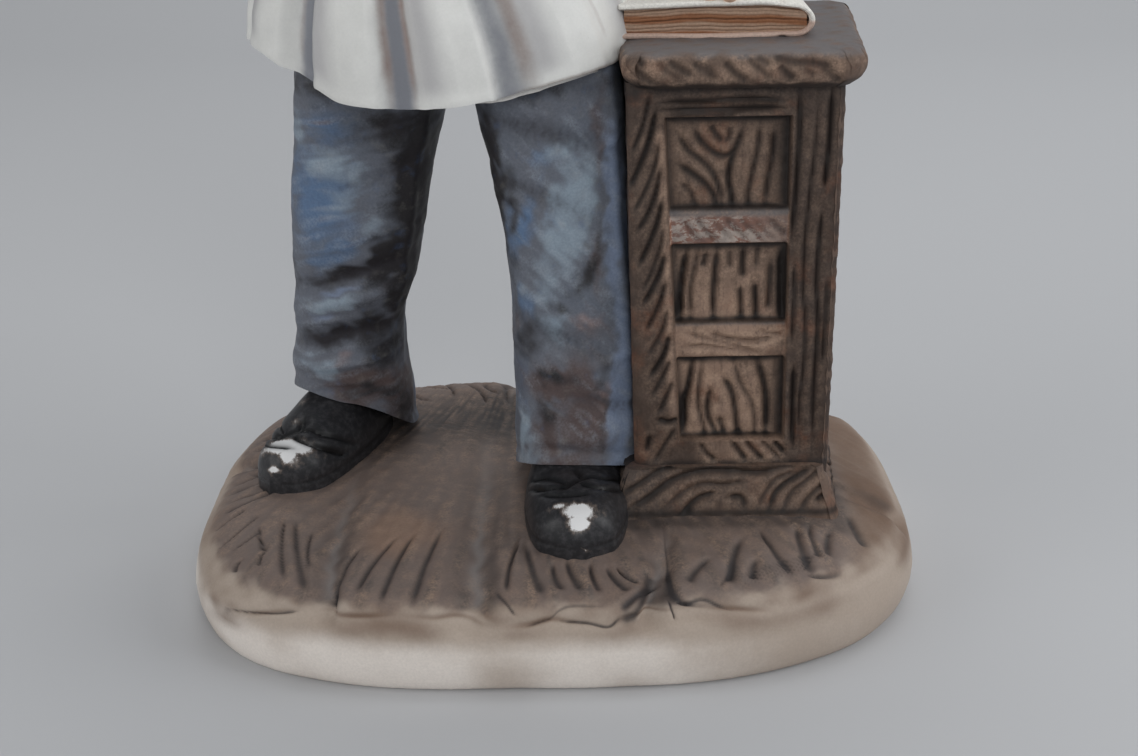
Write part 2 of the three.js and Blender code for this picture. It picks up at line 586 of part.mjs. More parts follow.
// Lapels: parts of a swollen coat cut out by standing prisms
function makeLapels() {
  const swollen = makeCoat(RELIEF);
  const middle = COAT[0][2];
  const mirrored = LAPEL.map(([x, z]) => [2 * NECK_MIDDLE[0] - x, z]).reverse();
  const lapels = [LAPEL, mirrored].map((outline) => prism(outline, middle - LAPEL_REACH, middle));
  return join(lapels.map((lapel) => swollen.intersect(lapel)));
}

// A sleeve: round sections carried along a smooth line, with shallow rings of cloth
function makeSleeve(stations) {
  const [sides, rows] = FACETS.sleeve;
  const last = stations.length - 1;
  const indexed = stations.map((station, i) => [i / last, ...station]);
  const at = (share) => follow(indexed, share);
  const pointAt = (u, v) => {
    const share = THREE.MathUtils.clamp((v * rows - 1) / (rows - 2), 0, 1);
    const [x, y, z, radius] = at(share);
    const ahead = new THREE.Vector3(...at(Math.min(share + 0.02, 1)));
    const behind = new THREE.Vector3(...at(Math.max(share - 0.02, 0)));
    const forward = ahead.sub(behind).normalize();
    const side = new THREE.Vector3(...SLEEVE_ACROSS).cross(forward).normalize();
    const up = forward.clone().cross(side);
    const angle = u * 360 * DEGREE;
    const wave = Math.sin(share * SLEEVE_RINGS.count * 2 * Math.PI + 1.5 * Math.cos(angle));
    const ring = SLEEVE_RINGS.depth * wave * fade(share, 0.1, 0.3) * (1 - fade(share, 0.85, 0.97));
    const end = v < 0.01 || v > 0.99 ? 0 : 1;
    const r = (radius + ring) * end;
    return new THREE.Vector3(x, y, z)
      .addScaledVector(side, r * Math.cos(angle))
      .addScaledVector(up, r * Math.sin(angle));
  };
  return surface(pointAt, sides, rows);
}

// A standing collar: an open-topped ring that leans out a little
function makeCollar() {
  const { foot, top, halfWidth, halfDepth } = COLLAR;
  const profile = [[0.5, foot], [1.14, foot], [1.1, top - 3], [1, top - 0.5], [0.9, top], [0.78, top - 4]];
  const pointAt = (u, v) => {
    const row = Math.round(v * (profile.length + 1));
    const [x, y] = NECK_MIDDLE;
    if (row === 0) return new THREE.Vector3(x, y, foot);
    if (row === profile.length + 1) return new THREE.Vector3(x, y, top - 4);
    const [share, height] = profile[row - 1];
    const angle = u * 360 * DEGREE;
    const forward = -Math.sin(angle);
    const dip = height > foot ? COLLAR_DIP * Math.max(forward, 0) ** 2 : 0;
    const across = halfWidth * share * Math.cos(angle);
    return new THREE.Vector3(x + across, y + halfDepth * share * Math.sin(angle), height - dip);
  };
  return surface(pointAt, FACETS.collar, profile.length + 1);
}

// Head

const headPlace = new THREE.Matrix4()
  .makeTranslation(...HEAD_PLACE.centre)
  .multiply(new THREE.Matrix4().makeRotationZ(HEAD_PLACE.turn * DEGREE))
  .multiply(new THREE.Matrix4().makeRotationX(HEAD_PLACE.nod * DEGREE));

// Share of the height at row v of a form with a pole at each end: the rows crowd towards the ends
function crowded(v, rows) {
  const t = THREE.MathUtils.clamp((v * rows - 1) / (rows - 2), 0, 1);
  return THREE.MathUtils.lerp(t, 0.5 - 0.5 * Math.cos(t * Math.PI), 0.7);
}

// The head's surface at an angle from the face and a height, with the face's features, or its pole
function headPoint(angle, height, pole) {
  const [a, front, back] = follow(HEAD, height);
  const middle = (front + back) / 2;
  const half = (back - front) / 2;
  const x = a * rounded(Math.sin(angle), HEAD_SQUARE);
  const c = rounded(Math.cos(angle), HEAD_SQUARE);
  let relief = 0;
  if (c > 0) {
    for (const [across, up, wide, tall, raise] of FACE) {
      relief += raise * bump(Math.abs(x) - across, wide) * bump(height - up, tall) * fade(c, 0, 0.4);
    }
  }
  if (pole) return new THREE.Vector3(0, middle, height);
  return new THREE.Vector3(x, middle - half * c - relief, height);
}

function makeHead() {
  const [sides, rows] = FACETS.head;
  const [low, high] = [HEAD[0][0], HEAD[HEAD.length - 1][0]];
  const pointAt = (u, v) => {
    const angle = (u * 2 - 1) * Math.PI - 0.5 * Math.sin((u * 2 - 1) * Math.PI);
    const height = THREE.MathUtils.lerp(low, high, crowded(v, rows));
    return headPoint(angle, height, v < 0.01 || v > 0.99).applyMatrix4(headPlace);
  };
  return surface(pointAt, sides, rows);
}

// The hair: the head's surface swollen about its middle, which sinks into it below the hairline
function makeHair() {
  const [sides, rows] = FACETS.hair;
  const top = HEAD[HEAD.length - 1][0];
  const middle = new THREE.Vector3(...HAIR_MIDDLE);
  const { thick, sink, brow, temple, nape, locks, lockDepth } = HAIR;
  const pointAt = (u, v) => {
    const pole = v < 0.01 || v > 0.99;
    const angle = (u * 2 - 1) * Math.PI;
    const share = crowded(v, rows);
    const height = THREE.MathUtils.lerp(nape - 1.5, top, share);
    const forward = Math.cos(angle);
    const hairline = forward > 0.45
      ? THREE.MathUtils.lerp(temple, brow, fade(forward, 0.45, 0.8))
      : THREE.MathUtils.lerp(nape, temple, fade(forward, -0.2, 0.25));
    const cover = pole ? Math.round(v) : fade(height, hairline - 0.8, hairline + 0.8);
    const lock = pole ? 0 : lockDepth * Math.sin(angle * locks + height * 0.5) * (1 - share ** 3);
    const swell = 1 + ((thick + lock) * cover - sink * (1 - cover)) / HEAD_REACH;
    const point = headPoint(angle, height, pole);
    return point.sub(middle).multiplyScalar(swell).add(middle).applyMatrix4(headPlace);
  };
  return surface(pointAt, sides, rows);
}

// Nose, ears and neck
function makeHeadTrim() {
  const onHead = (point) => new THREE.Vector3(...point).applyMatrix4(headPlace).toArray();
  const { root, tip, rootRadius, tipRadius, wing } = NOSE;
  const parts = [limb([onHead(root), onHead(tip), rootRadius, tipRadius])];
  for (const side of [-1, 1]) {
    const start = onHead([side * 1.4, tip[1] + 0.3, tip[2] - 0.4]);
    const end = onHead([side * 1.3, tip[1] + 1.8, tip[2] - 0.2]);
    parts.push(limb([start, end, wing, wing], 6, 2));
    const ear = new THREE.SphereGeometry(1, 8, 6);
    ear.scale(EAR.halfWidth, EAR.halfDepth, EAR.halfHeight);
    ear.rotateX(-10 * DEGREE);
    ear.rotateZ(side * -22 * DEGREE);
    ear.translate(side * EAR.across, EAR.along, EAR.up);
    ear.applyMatrix4(headPlace);
    parts.push(toSolid(ear));
  }
  const { foot, top, radius } = NECK;
  parts.push(limb([[NECK_MIDDLE[0], NECK_MIDDLE[1], foot], [-21, 3.4, top], radius + 1, radius], 14, 1));
  return join(parts);
}

// The tooth held up in the forceps: a rounded crown with two roots
function makeTooth() {
  const { crown, radius, height } = TOOTH;
  const block = new THREE.SphereGeometry(radius, 8, 5);
  block.scale(1, 0.9, (height / 2) / radius);
  const parts = [placed(block, crown[0], crown[1], crown[2] + 1.4)];
  for (const side of [-1, 1]) {
    const start = [crown[0] + side * 1.2, crown[1], crown[2]];
    parts.push(limb([start, [start[0], crown[1], crown[2] - 3.4], 0.95, 0.5], 6, 1));
  }
  return join(parts);
}

const figurine = join([
  makeBase(),
  makeCabinet(),
  makeBook(),
  ...SHOES.map(makeShoe),
  makeLeg(RIGHT_LEG, RIGHT_FOLDS, RIGHT_HEM),
  makeLeg(LEFT_LEG, LEFT_FOLDS, LEFT_HEM),
  makeCoat(0),
  makeLapels(),
  makeSleeve(RIGHT_SLEEVE),
  makeSleeve(LEFT_SLEEVE),
  makeCollar(),
  makeHead(),
  makeHair(),
  makeHeadTrim(),
  ...RIGHT_HAND.map((part) => limb(part, FACETS.finger)),
  ...LEFT_HAND.map((part) => limb(part, FACETS.finger)),
  ...FORCEPS.map((part) => limb(part, FACETS.forceps, 1)),
  makeTooth(),
]);

function toGeometry(solid) {
  const { vertProperties, triVerts } = solid.getMesh();
  const geometry = new THREE.BufferGeometry();
  geometry.setAttribute('position', new THREE.BufferAttribute(vertProperties, 3));
  geometry.setIndex(new THREE.BufferAttribute(triVerts, 1));
  geometry.computeVertexNormals();
  return geometry;
}

const group = new THREE.Group();
const bisque = new THREE.MeshStandardMaterial({ color: 0xcfc6ba, roughness: 0.75, metalness: 0 });
const mesh = new THREE.Mesh(toGeometry(figurine), bisque);
mesh.name = 'dentist_figurine';
group.add(mesh);

export default group;
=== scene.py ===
import math

import bpy
import numpy as np
from mathutils import Matrix, Vector


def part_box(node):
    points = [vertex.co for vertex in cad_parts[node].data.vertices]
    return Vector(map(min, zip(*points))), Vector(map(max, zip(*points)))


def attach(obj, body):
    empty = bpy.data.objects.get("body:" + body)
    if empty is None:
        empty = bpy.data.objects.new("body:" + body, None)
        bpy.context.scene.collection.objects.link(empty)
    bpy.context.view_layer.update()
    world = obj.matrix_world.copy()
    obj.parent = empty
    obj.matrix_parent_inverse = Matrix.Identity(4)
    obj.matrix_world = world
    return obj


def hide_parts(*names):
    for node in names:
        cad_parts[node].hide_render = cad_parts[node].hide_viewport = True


bl_info = {
    "name": "Dentist Figurine",
    "version": (1, 0, 0),
    "blender": (4, 5, 0),
    "location": "3D View > Sidebar > Figurine",
    "description": "Builds the painted bisque figurine of a dentist, its cabinet and its flagstone base",
    "category": "Object",
}

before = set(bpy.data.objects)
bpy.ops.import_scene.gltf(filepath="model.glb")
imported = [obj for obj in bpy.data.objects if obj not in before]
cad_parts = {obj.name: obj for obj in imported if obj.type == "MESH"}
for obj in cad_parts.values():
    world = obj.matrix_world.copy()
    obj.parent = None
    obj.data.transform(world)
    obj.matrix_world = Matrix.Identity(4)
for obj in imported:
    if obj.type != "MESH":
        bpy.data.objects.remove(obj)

NODE = "dentist_figurine"
BODY = "root"

# Shapes are worked out in millimetres and put into the meshes in metres
MM = 0.001
DEG = math.pi / 180
# The CAD solid's highest corner
HIGH = np.array(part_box(NODE)[1]) / MM

# Base: half width and half depth come from the CAD solid's highest corner. Side profile: inset from the
# outline, height
BASE_HALF = (HIGH[0], HIGH[1])
BASE_PROFILE = [
    (0, 2.6, 0), (1, 1.0, 1.2), (2, 0, 5.8), (3, 1.2, 10.6), (4, 2.5, 12.3), (5, 4.4, 14.2), (6, 8.2, 15.7),
    (7, 14, 16.6),
]
BASE_TOP = 17.4
# Joints between the flagstones: rim end, inner end, half width, depth
STONE_JOINTS = [
    ((-38, -44), (-37, -6), 1.9, 1.6), ((-13, -48), (-12.6, 14), 2.6, 1.5),
    ((16.5, -45.5), (19.5, -29), 1.7, 2.2), ((60, -16), (50, -12), 1.9, 1.6),
    ((58, 30), (48, 24), 2.2, 1.8), ((28, 50), (25, 30), 2.0, 2.0), ((-8, 51), (-10, 16), 2.2, 1.6),
    ((-42, 46), (-36, 30), 1.9, 2.2), ((-65, 8), (-46, 4), 2.1, 1.8),
]
# Tooled strokes along the front rim: start, end, half width
RIM_STROKES = [
    (-47.4, -22, -45.3, -38, 0.5), (-45.1, -23, -41.2, -42, 0.75), (-42, -25.6, -41.3, -36, 0.4),
    (-55.6, -26.4, -51.7, -22, 0.45), (-51.7, -22, -49.5, -30, 0.45), (-49.5, -30, -50.2, -33.6, 0.4),
    (-53.7, -31, -54.6, -33.4, 0.5), (-35.3, -40.5, -36.9, -46.4, 0.7), (-33.5, -33, -36.4, -44.6, 0.5),
    (-28, -30.5, -32.3, -43, 0.6), (-24.8, -30, -28.1, -46, 0.65), (-20, -28.7, -22.9, -46.6, 0.7),
    (-6.1, -32, -7.8, -44, 0.5), (-4.1, -33, -2, -45, 0.85), (0.1, -38, 1.3, -43.8, 0.7),
    (2.6, -37, 4.5, -43.8, 0.8), (6.4, -38, 7.5, -44.2, 0.6), (9.4, -39, 12.2, -44.4, 0.75),
    (11, -38.8, 13.9, -42.6, 0.45), (16.8, -43.4, 10.7, -48.4, 0.7), (19.4, -39.9, 19.6, -47, 0.7),
    (20.6, -46.4, 30, -46.6, 0.35), (25.6, -37.5, 22.2, -43, 0.8), (31.7, -32, 29.2, -42.4, 1.0),
    (34.1, -37, 33, -41, 0.9), (36.2, -29, 39.5, -39.4, 0.7), (42.3, -28, 43, -38.9, 0.9),
    (43, -38.9, 49, -37.2, 0.55), (44.6, -27, 45, -35, 0.6), (48, -27.4, 46.6, -34, 0.8),
    (52.4, -22, 54, -29.5, 0.9), (-60, -18, -56, -14, 0.5), (-58, -24, -53, -17, 0.4),
]
RIM_REACH = 1.25
# The comb of further strokes runs round the rim between these angles
COMB = (38, 196)
# Height of the lip over the front wall: x, height. Along it run fine open cracks, as x and z
LEDGE = [
    (-62, 6), (-56, 9.1), (-50, 10.7), (-45, 11.9), (-38, 12.7), (-29, 13.2), (-20, 12.9), (-15.8, 13.4),
    (-12, 12), (-4.6, 11.9), (0, 12.8), (8.6, 12), (13, 12.9), (21, 13.8), (29, 12.7), (36, 11.8),
]
LEDGE_CRACKS = [
    ((-56.2, 9.1), (-50.4, 10.6), (-45.8, 11.7), (-42, 12.5)), ((-9.6, 15.4), (-7.8, 14.5), (-6.2, 13.2)),
    ((-4.6, 11.9), (-2.8, 12.3), (-0.5, 12.9), (0.9, 13.7), (3.1, 14.1), (7.9, 14)),
    ((0.9, 12.5), (5.3, 12.2), (8.6, 11.7), (10.4, 12.5)),
    ((18.7, 18), (19.6, 15), (21.4, 14.1), (24.4, 14.2), (28.9, 12.7)),
    ((27, 15.1), (28.5, 15.7), (30.3, 16.4)), ((18.7, 14.4), (19.2, 13.3), (19.6, 12.2)),
    ((-36.8, 15.6), (-36.4, 14), (-36, 12.4)),
]
# The wide branch of the third joint that turns down to the left
LEDGE_BRANCH = [((17.4, 19.7), (17, 17.6), (15.2, 15.2), (13, 13), (10.4, 12.6))]
SCRATCHES = {"first": (30.5, -44.2), "step": (0.95, 0.42), "run": (3.6, 6.0), "count": 12}

# Cabinet: plinth, body, slab, with the recessed front
PLINTH = {"left": 10.6, "right": 49.4, "front": -22.0, "back": 26, "foot": 12, "top": 25.6, "batter": 2.3}
CABINET = {
    "left_foot": 14.5, "left_top": 12.9, "right": 48, "front": -18.5, "back": 22.5, "foot": 20, "top": 93.5,
}
SLAB = {"left": 12.2, "right": 51, "front": -22.4, "back": 28.4, "foot": 92.4}
# The cabinet's right side runs outwards to the back by this share of the depth
CABINET_FLARE = 0.105
SLAB_EDGE = [(0, 2.2, 0), (1, 0.7, 1.3), (2, 0, 3.1), (3, 0.2, 4.9), (4, 1.7, 5.9), (5, 6, 6.1)]
RECESS = {"top_left": 19.3, "foot_left": 22.2, "top_right": 39.4, "foot_right": 40, "foot": 30.1, "top": 87.2}
RECESS_DEPTH = 2.2
# Half the width over which the front steps down into the recess
EDGE_WIDTH = 0.3
RAILS = [(45.2, 51.8), (65.6, 71.8)]
RAIL_STEP = 0.7
# Painted grey shade along the upper edge of each rail: the heights between which it rises, and its amount
RAIL_TOP_SHADE = [(70.4, 71.4, 0.8), (50.6, 51.6, 0.6)]
SIDE_RECESS = {"front": -12.5, "back": 16.5, "foot": 31, "top": 86, "depth": 1.2, "rail": (56, 62)}
# Half widths of the grooves in the panels, the frame and the rails
GROOVE_WIDTH = {"panel": 0.5, "frame": 0.42, "rail": 0.45}
# Hand-carved grooves of the front, as x and z along each, one group for each width. As with the rim's
# strokes, the ledge and its cracks, their points were chosen on the photograph and carried to the
# carved face through CAMERA
PANEL_GROOVES = [
    # Upper panel, with its knot
    ((21.1, 84.6), (23, 81.4), (25.2, 79.6), (27.1, 77.5), (28.3, 74.5), (28.6, 72.1)),
    ((21.3, 79.2), (23.6, 77.5), (25.6, 75.9), (27.2, 73.9), (27.9, 71.9)),
    ((21.9, 75.8), (23.4, 74.4), (24.4, 72)),
    ((23.8, 85.5), (24.8, 83.3), (26.7, 81.3), (28.6, 80.3), (30.2, 80.8), (31.2, 82.8), (32, 85.6)),
    ((26.5, 85.6), (27.6, 83.9), (28.7, 82.6)), ((29.6, 85.3), (29.7, 83.7), (28.9, 82.6)),
    ((30.9, 81.7), (30, 79.3), (29.7, 76.4), (30.2, 73.8), (30.4, 71.9)),
    ((34.5, 85.8), (34.4, 81.8), (33.6, 77.7), (33, 73.8), (33.1, 71.8)),
    ((36.9, 85.2), (36.7, 80.2), (36.1, 76), (35.8, 72)),
    # Middle panel
    ((23, 64.2), (22.4, 60.2), (22.1, 56.1), (21.9, 52)),
    ((25, 64.2), (24.3, 60.7), (23.7, 57.5), (23.8, 52)),
    ((26.3, 63.6), (25.7, 61.2)), ((28.1, 64.4), (27.8, 60.1), (27.6, 56), (27.7, 51.8)),
    ((30.1, 64), (30.2, 61)),
    ((32.4, 64.4), (32.3, 61.4), (32.5, 59.2)), ((32, 57.8), (32.2, 55.1), (32.4, 52)),
    ((34.8, 64.6), (34.7, 61)),
    ((34.5, 58.4), (34.7, 55), (34.9, 52)), ((37, 62.6), (36.9, 55.8), (36.7, 53.4)),
    ((38.8, 63.4), (38.9, 58.5), (39.2, 52)),
    # Lower panel
    ((24.3, 44.6), (23.6, 39.5), (22.9, 36.2), (22.9, 31)),
    ((25.9, 44.6), (25.4, 39.1), (25.4, 35.5), (26.3, 31.8), (26.6, 30)),
    ((27.5, 39.1), (27, 36.2), (27.2, 33.2), (28.7, 30.2)),
    ((29.4, 41.2), (31, 38.3), (31.7, 35), (32.1, 31.7), (32.6, 30)),
    ((31.2, 44.4), (32.6, 39.7), (34.4, 36.4), (35.2, 33.1), (35.2, 30)),
    ((35.2, 44.4), (36.4, 40.3), (37, 36.3), (37.1, 30)),
    ((28.9, 33.4), (30, 30.4)),
]
FRAME_GROOVES = [
    # Top rail and foot rail
    ((17.9, 89.9), (25.8, 90), (32.5, 90.2), (38.6, 89.9)),
    ((18.3, 88.7), (27.6, 88.5), (32.5, 88.7), (38.4, 88.7)),
    ((19.6, 87.8), (24.6, 87.9), (28.3, 87.6), (30.7, 88.1)), ((31.3, 29.6), (32.5, 27.8), (33.8, 26)),
    ((33.5, 29.8), (35.2, 27.7), (36.8, 26)), ((36.2, 29.8), (37.9, 28.1), (39.6, 26.2)),
    ((38.5, 29.6), (40.3, 27.3)),
    ((25.6, 29.6), (27, 27.4), (28.6, 26)),
    # Left stile
    ((16.9, 91.6), (15.7, 86.2), (13.8, 81.2)), ((17.9, 89.2), (16.6, 83.3), (14.6, 78), (13.6, 75.7)),
    ((18.4, 84.2), (17.7, 79.5), (15.7, 74.4), (14.1, 71.5)),
    ((18.6, 79.6), (18, 75.4), (16.4, 71), (14.6, 68)),
    ((18.9, 74), (18.2, 70.1), (16.4, 65.2), (15, 62.2)),
    ((19.1, 69.4), (18.6, 65.5), (17.1, 61), (15.6, 57.6)),
    ((19.4, 64.4), (18.4, 60.6), (15.6, 54.8)), ((19.6, 59.6), (18.5, 55.4), (16.2, 50.4)),
    ((19.9, 54.6), (19, 50.6), (16.6, 46)),
    ((20.2, 50), (19.4, 46.4), (16.9, 41.8)), ((20.4, 45.4), (19.4, 42.6), (17.2, 38.2)),
    ((20.8, 41.4), (20, 38.8), (18.4, 35)),
    ((18.2, 34.2), (20.2, 33.6), (21.8, 34.2)), ((21.4, 32.4), (19.8, 29.6), (17.8, 25.8)),
    ((17, 31), (16.4, 28)),
    # Right stile
    ((40.6, 92), (40.8, 84), (40.6, 75.6), (40.2, 66)),
    ((43.5, 92), (43.4, 82.2), (42.9, 75.5), (42.4, 66), (42.4, 58), (43, 52), (43.1, 44.8), (42.6, 36),
        (43, 27)),
    ((45.7, 92), (45.7, 85.3), (45.5, 80), (45.1, 74.5)),
    ((45.1, 72.4), (44.8, 67.6), (44.6, 59.2), (45.1, 52), (45.1, 46.5), (44.9, 38), (45.2, 28)),
    ((40.8, 62), (41, 56), (40.9, 48)), ((41.4, 44), (41.4, 36), (41.8, 28)),
    ((46.4, 60), (46.4, 52), (46.2, 44)),
]
RAIL_GROOVES = [
    # Upper rail, lower rail
    ((22.4, 70), (23.7, 67.8), (25.2, 66.1)), ((24.4, 70.3), (26.2, 67.9), (28, 66)),
    ((26.8, 70.2), (28.8, 67.9), (30.7, 66.2)),
    ((29.1, 70.3), (31, 68.2), (33.1, 66.2)), ((31.4, 70.3), (33.5, 68), (35.4, 66.3)),
    ((33.9, 69.8), (35.8, 67.7), (37.7, 66.2)),
    ((36.4, 69.8), (38, 68.2), (39.4, 67.2)), ((22.9, 49.8), (26.6, 48.7), (30.8, 47.5), (35.6, 46)),
    ((22.4, 47.3), (26.6, 47.3), (31.9, 46.5), (35.6, 45.8)),
    ((26.6, 49.8), (30.3, 48.6), (34.5, 48.3), (38.1, 48.8)),
    ((35.5, 50.2), (36.8, 49.4), (39.7, 49.6)),
]
PLINTH_GROOVES = [
    ((12, 21), (15, 22.6), (18.6, 24.8), (21.8, 25.6)),
    ((12.9, 18.4), (17, 20.6), (20.6, 23.1), (25.2, 24.6), (30.5, 24.7), (36, 24.3), (41.6, 25.4)),
    ((19, 18.4), (22.6, 21), (26, 22.5), (30.2, 22.4), (34.6, 23)), ((22.6, 17.6), (25.2, 20), (28.4, 21)),
    ((30.6, 20.2), (32.8, 20.2), (33.6, 18.6)), ((35.8, 18.6), (37.4, 21.3), (39.2, 23.2), (43.1, 24.6)),
    ((37.8, 18.2), (39, 20.9), (41.8, 23.1), (45.4, 25)),
    ((40.2, 18.2), (41.9, 20.9), (44.6, 23), (46.6, 24.8)), ((43.3, 18.2), (45.3, 20.5), (47.8, 22.6)),
    ((45.8, 19.4), (47.6, 20.2), (49.4, 19.6)), ((15.6, 19.2), (18.5, 21.4), (20.6, 22.4)),
]
SLAB_NICKS = [
    ((13.2, 97.3), (15.1, 95.2), (17.6, 93.4)), ((14.4, 97.7), (15.7, 96.5)),
    ((17.6, 97.2), (19.3, 95.7), (21.7, 94.1)), ((19.4, 97.3), (21, 96.1), (23.5, 94.8)),
    ((23.1, 97.1), (25.2, 95.6), (27.6, 94.1)), ((25.4, 96.4), (27, 94.8)),
    ((28.1, 97.1), (29.9, 95.3), (32.3, 93.7)), ((31.9, 97.6), (33.7, 95.8), (36.1, 94)),
    ((33.2, 97.6), (35.5, 96.4)), ((36.9, 96.5), (38.1, 95), (39.6, 93.9)), ((40.7, 96), (42.5, 94.5)),
    ((43.3, 96.2), (45.2, 94.7), (46.7, 93.5)), ((35.6, 97.6), (38.3, 96.9), (42.8, 96.4), (45.5, 95.6)),
]

BOOK = {"left": 12.4, "right": 44.5, "front": -9.6, "back": 15, "foot": 98.2, "thick": 6.3, "turn": -1}
BOOK_COVER = 0.95
PAGE_INSET = 0.9

# Legs: height, middle x, middle y, half width, half depth
RIGHT_LEG = [
    (17, 5.3, -5, 12, 11.2), (24, 5.3, -5, 12, 11.2), (34, 5, -4.6, 11.6, 11), (47, 4.5, -4.2, 11.2, 11),
    (59, 3.8, -3.8, 11, 11.2), (68, 2.9, -3.2, 11.3, 11.7), (77, 2, -2.6, 11.9, 12.3),
    (88, 0.6, -2, 12.9, 13), (97, -0.8, -1.4, 13.4, 13.4),
]
LEFT_LEG = [
    (17, -38.4, 17.9, 11, 11.6), (28, -38.8, 16.6, 11.2, 11.2), (36, -39, 15.4, 10.6, 10.6),
    (44, -38, 14, 10.3, 10.3), (52, -36.4, 12.4, 11.2, 11), (60, -35.2, 11, 11.9, 11.6),
    (68, -34.2, 9.6, 12.4, 12.1), (76, -32.6, 8.4, 12.5, 12.5), (86, -30.8, 6.6, 13.4, 13.1),
    (97, -28.8, 4.8, 14, 13.4),
]
LEG_SQUARE = 2 / 2.8
FOLD_SHARE = 0.75
MM_PER_DEGREE = 0.19
RIGHT_HEM = {"high": 24.8, "low": 17, "turn": -8}
LEFT_HEM = {"high": 30.4, "low": 17.4, "turn": -48}
# Trouser folds: height at the front, rise to the right, middle angle, reach in degrees, width, depth
RIGHT_FOLDS = [
    (84, -0.30, -10, 60, 2.4, -0.9), (72, -0.42, -25, 55, 2.2, -0.8), (58, -0.35, 20, 50, 2.6, 0.7),
    (47, -0.42, -20, 55, 2.4, -0.8), (37, -0.30, 25, 50, 2.0, -0.7), (30, 0.12, 0, 60, 2.0, 0.5),
]
LEFT_FOLDS = [
    (82, 0.30, 20, 60, 2.4, -0.6), (73, 0.36, 25, 60, 2.6, -0.5), (62, 0.34, 10, 60, 2.6, 0.6),
    (55, 0.30, 10, 65, 1.9, -1.0), (49.4, 0.24, -5, 70, 1.8, 1.0), (42.4, 0.16, 0, 70, 1.8, -1.0),
    (36.4, 0.08, -15, 70, 1.8, 0.9),
]
# Finer creases, in the same form
RIGHT_CREASES = [
    (66, -0.55, -48, 20, 0.9, -0.5), (69, -0.5, -50, 18, 0.8, 0.35), (78, 0.5, 38, 16, 0.8, 0.35),
    (52, -0.5, -42, 20, 0.9, 0.4), (42, 0.3, 30, 25, 1.0, 0.35), (27, -0.1, 0, 40, 0.9, -0.35),
]
LEFT_CREASES = [
    (60, 0.45, 30, 30, 1.0, -0.4), (46, 0.2, -30, 30, 0.8, 0.4), (40.5, 0.1, -20, 35, 0.7, -0.4),
    (36, 0.2, 25, 35, 0.7, 0.4), (31, 0.1, 0, 45, 0.8, -0.35), (74, -0.3, -30, 25, 1.2, 0.35),
]
# Rings that close a leg from below: share of the way from the hem to the middle, lift over the hem
LEG_BOTTOM = ((0.5, 1.2), (0.2, 1.2), (0.05, 0.1))
# The pressed edge down each leg: its angle from the front, its width in degrees, how far it stands out
PRESSED_EDGE = {"angle": 46, "width": 6, "relief": 0.45}

# Shoes: share of the length, half width, height
RIGHT_SHOE = [
    (0, 4.2, 8), (0.06, 6, 9), (0.2, 7.8, 9), (0.4, 9.2, 9), (0.47, 9.4, 8.2), (0.53, 9.6, 7),
    (0.62, 9.6, 7.4), (0.75, 9.1, 8), (0.87, 8, 7.4), (0.95, 6.2, 6.2), (1, 3.4, 4.6),
]
LEFT_SHOE = [
    (0, 4.2, 8), (0.06, 6, 10), (0.2, 8, 12), (0.42, 9.2, 12.4), (0.58, 9.4, 10.8), (0.74, 9, 9.2),
    (0.87, 7.9, 7.8), (0.95, 5.6, 6.6), (1, 3.2, 5),
]
SHOE_FOOT = 17.5
SHOE_DEPTH = 4
# Each patch lists dabs of white paint on the toe: across, down the shoe, half width, half height, slant,
# strength. The last dab of each is a painted reflection at the tip of the toe
SHOES = [
    {"stations": RIGHT_SHOE, "heel": (4, 5.4), "turn": 0, "length": 41.4, "slim": 0.96,
     "patch": [(0.5, 31.8, 3.4, 2.6, 12, 1.0), (0.3, 35, 2.2, 2.2, 0, 1.0), (-3, 30, 1.8, 1.2, -15, 0.7),
               (0.3, 40.6, 1.7, 0.5, 0, 0.8)]},
    {"stations": LEFT_SHOE, "heel": (-36.3, 24.6), "turn": -23.5, "length": 37, "slim": 0.86,
     "patch": [(-0.2, 26.4, 4.6, 2.4, -22, 1.15), (3, 25.2, 2, 2.8, 0, 1.1), (2, 28.4, 1.8, 2.4, 0, 1.1),
               (-3.2, 10.6, 1.3, 1.6, 0, 0.45),
               (-1.2, 17.9, 1.6, 2, 20, 0.5), (-0.2, 32.9, 1.4, 0.9, 0, 0.9)]},
]
# Bow, tongue and cap lines of a shoe: across, and down its length
SHOE_GROOVES = [
    ((-8, 17.4), (-5.8, 18.2), (-3.2, 20.6), (-1.6, 22.4)),
    ((-8, 21), (-5.8, 23), (-3.2, 23.4), (-1.8, 22.8)), ((8, 17.6), (5.2, 19.4), (2.4, 19.2), (0.8, 21)),
    ((8, 21.6), (5.8, 23.4), (2.4, 23.2), (0.8, 22)), ((0, 16), (0.9, 19.6), (-0.6, 21.8), (-2.6, 24.6)),
    ((-6, 25.4), (-2.5, 26.6), (2.2, 26.2)),
]

# Coat: height, middle x, middle y, half width, half depth
COAT = [
    (90, -17.5, 2, 31.4, 25.4), (98, -17.6, 2, 31.8, 25.2), (104, -18, 2.2, 31, 24.3),
    (112, -18.8, 2.6, 27.8, 21.8), (120, -19.8, 3, 23.8, 18.8), (128, -20.5, 3.5, 21, 16.7),
    (137, -21, 3.5, 21, 16.9), (146, -21, 3.5, 22.4, 17.3), (154, -21, 3.8, 23.4, 16.4),
    (160.5, -21, 4.3, 21.4, 14), (166, -21, 4.6, 16.4, 11), (170.5, -21, 4.7, 10.6, 8.8),
]
COAT_FOOT = 91.6
# Height of the hem at angles from the front, towards the viewer's right
HEM = [
    (-180, 92), (-130, 93.6), (-100, 97), (-80, 98.4), (-60, 98), (-47, 95.6), (-34, 93.4), (-26, 91.7),
    (-12, 91), (4, 91.2), (13, 91.8), (22, 92.4), (38, 94.2), (63, 96), (82, 97.4), (100, 97.4),
    (130, 94.6), (180, 92),
]
FLUTES = [-154, -118, -80, -43.5, -9, 24, 62, 98, 134, 170]
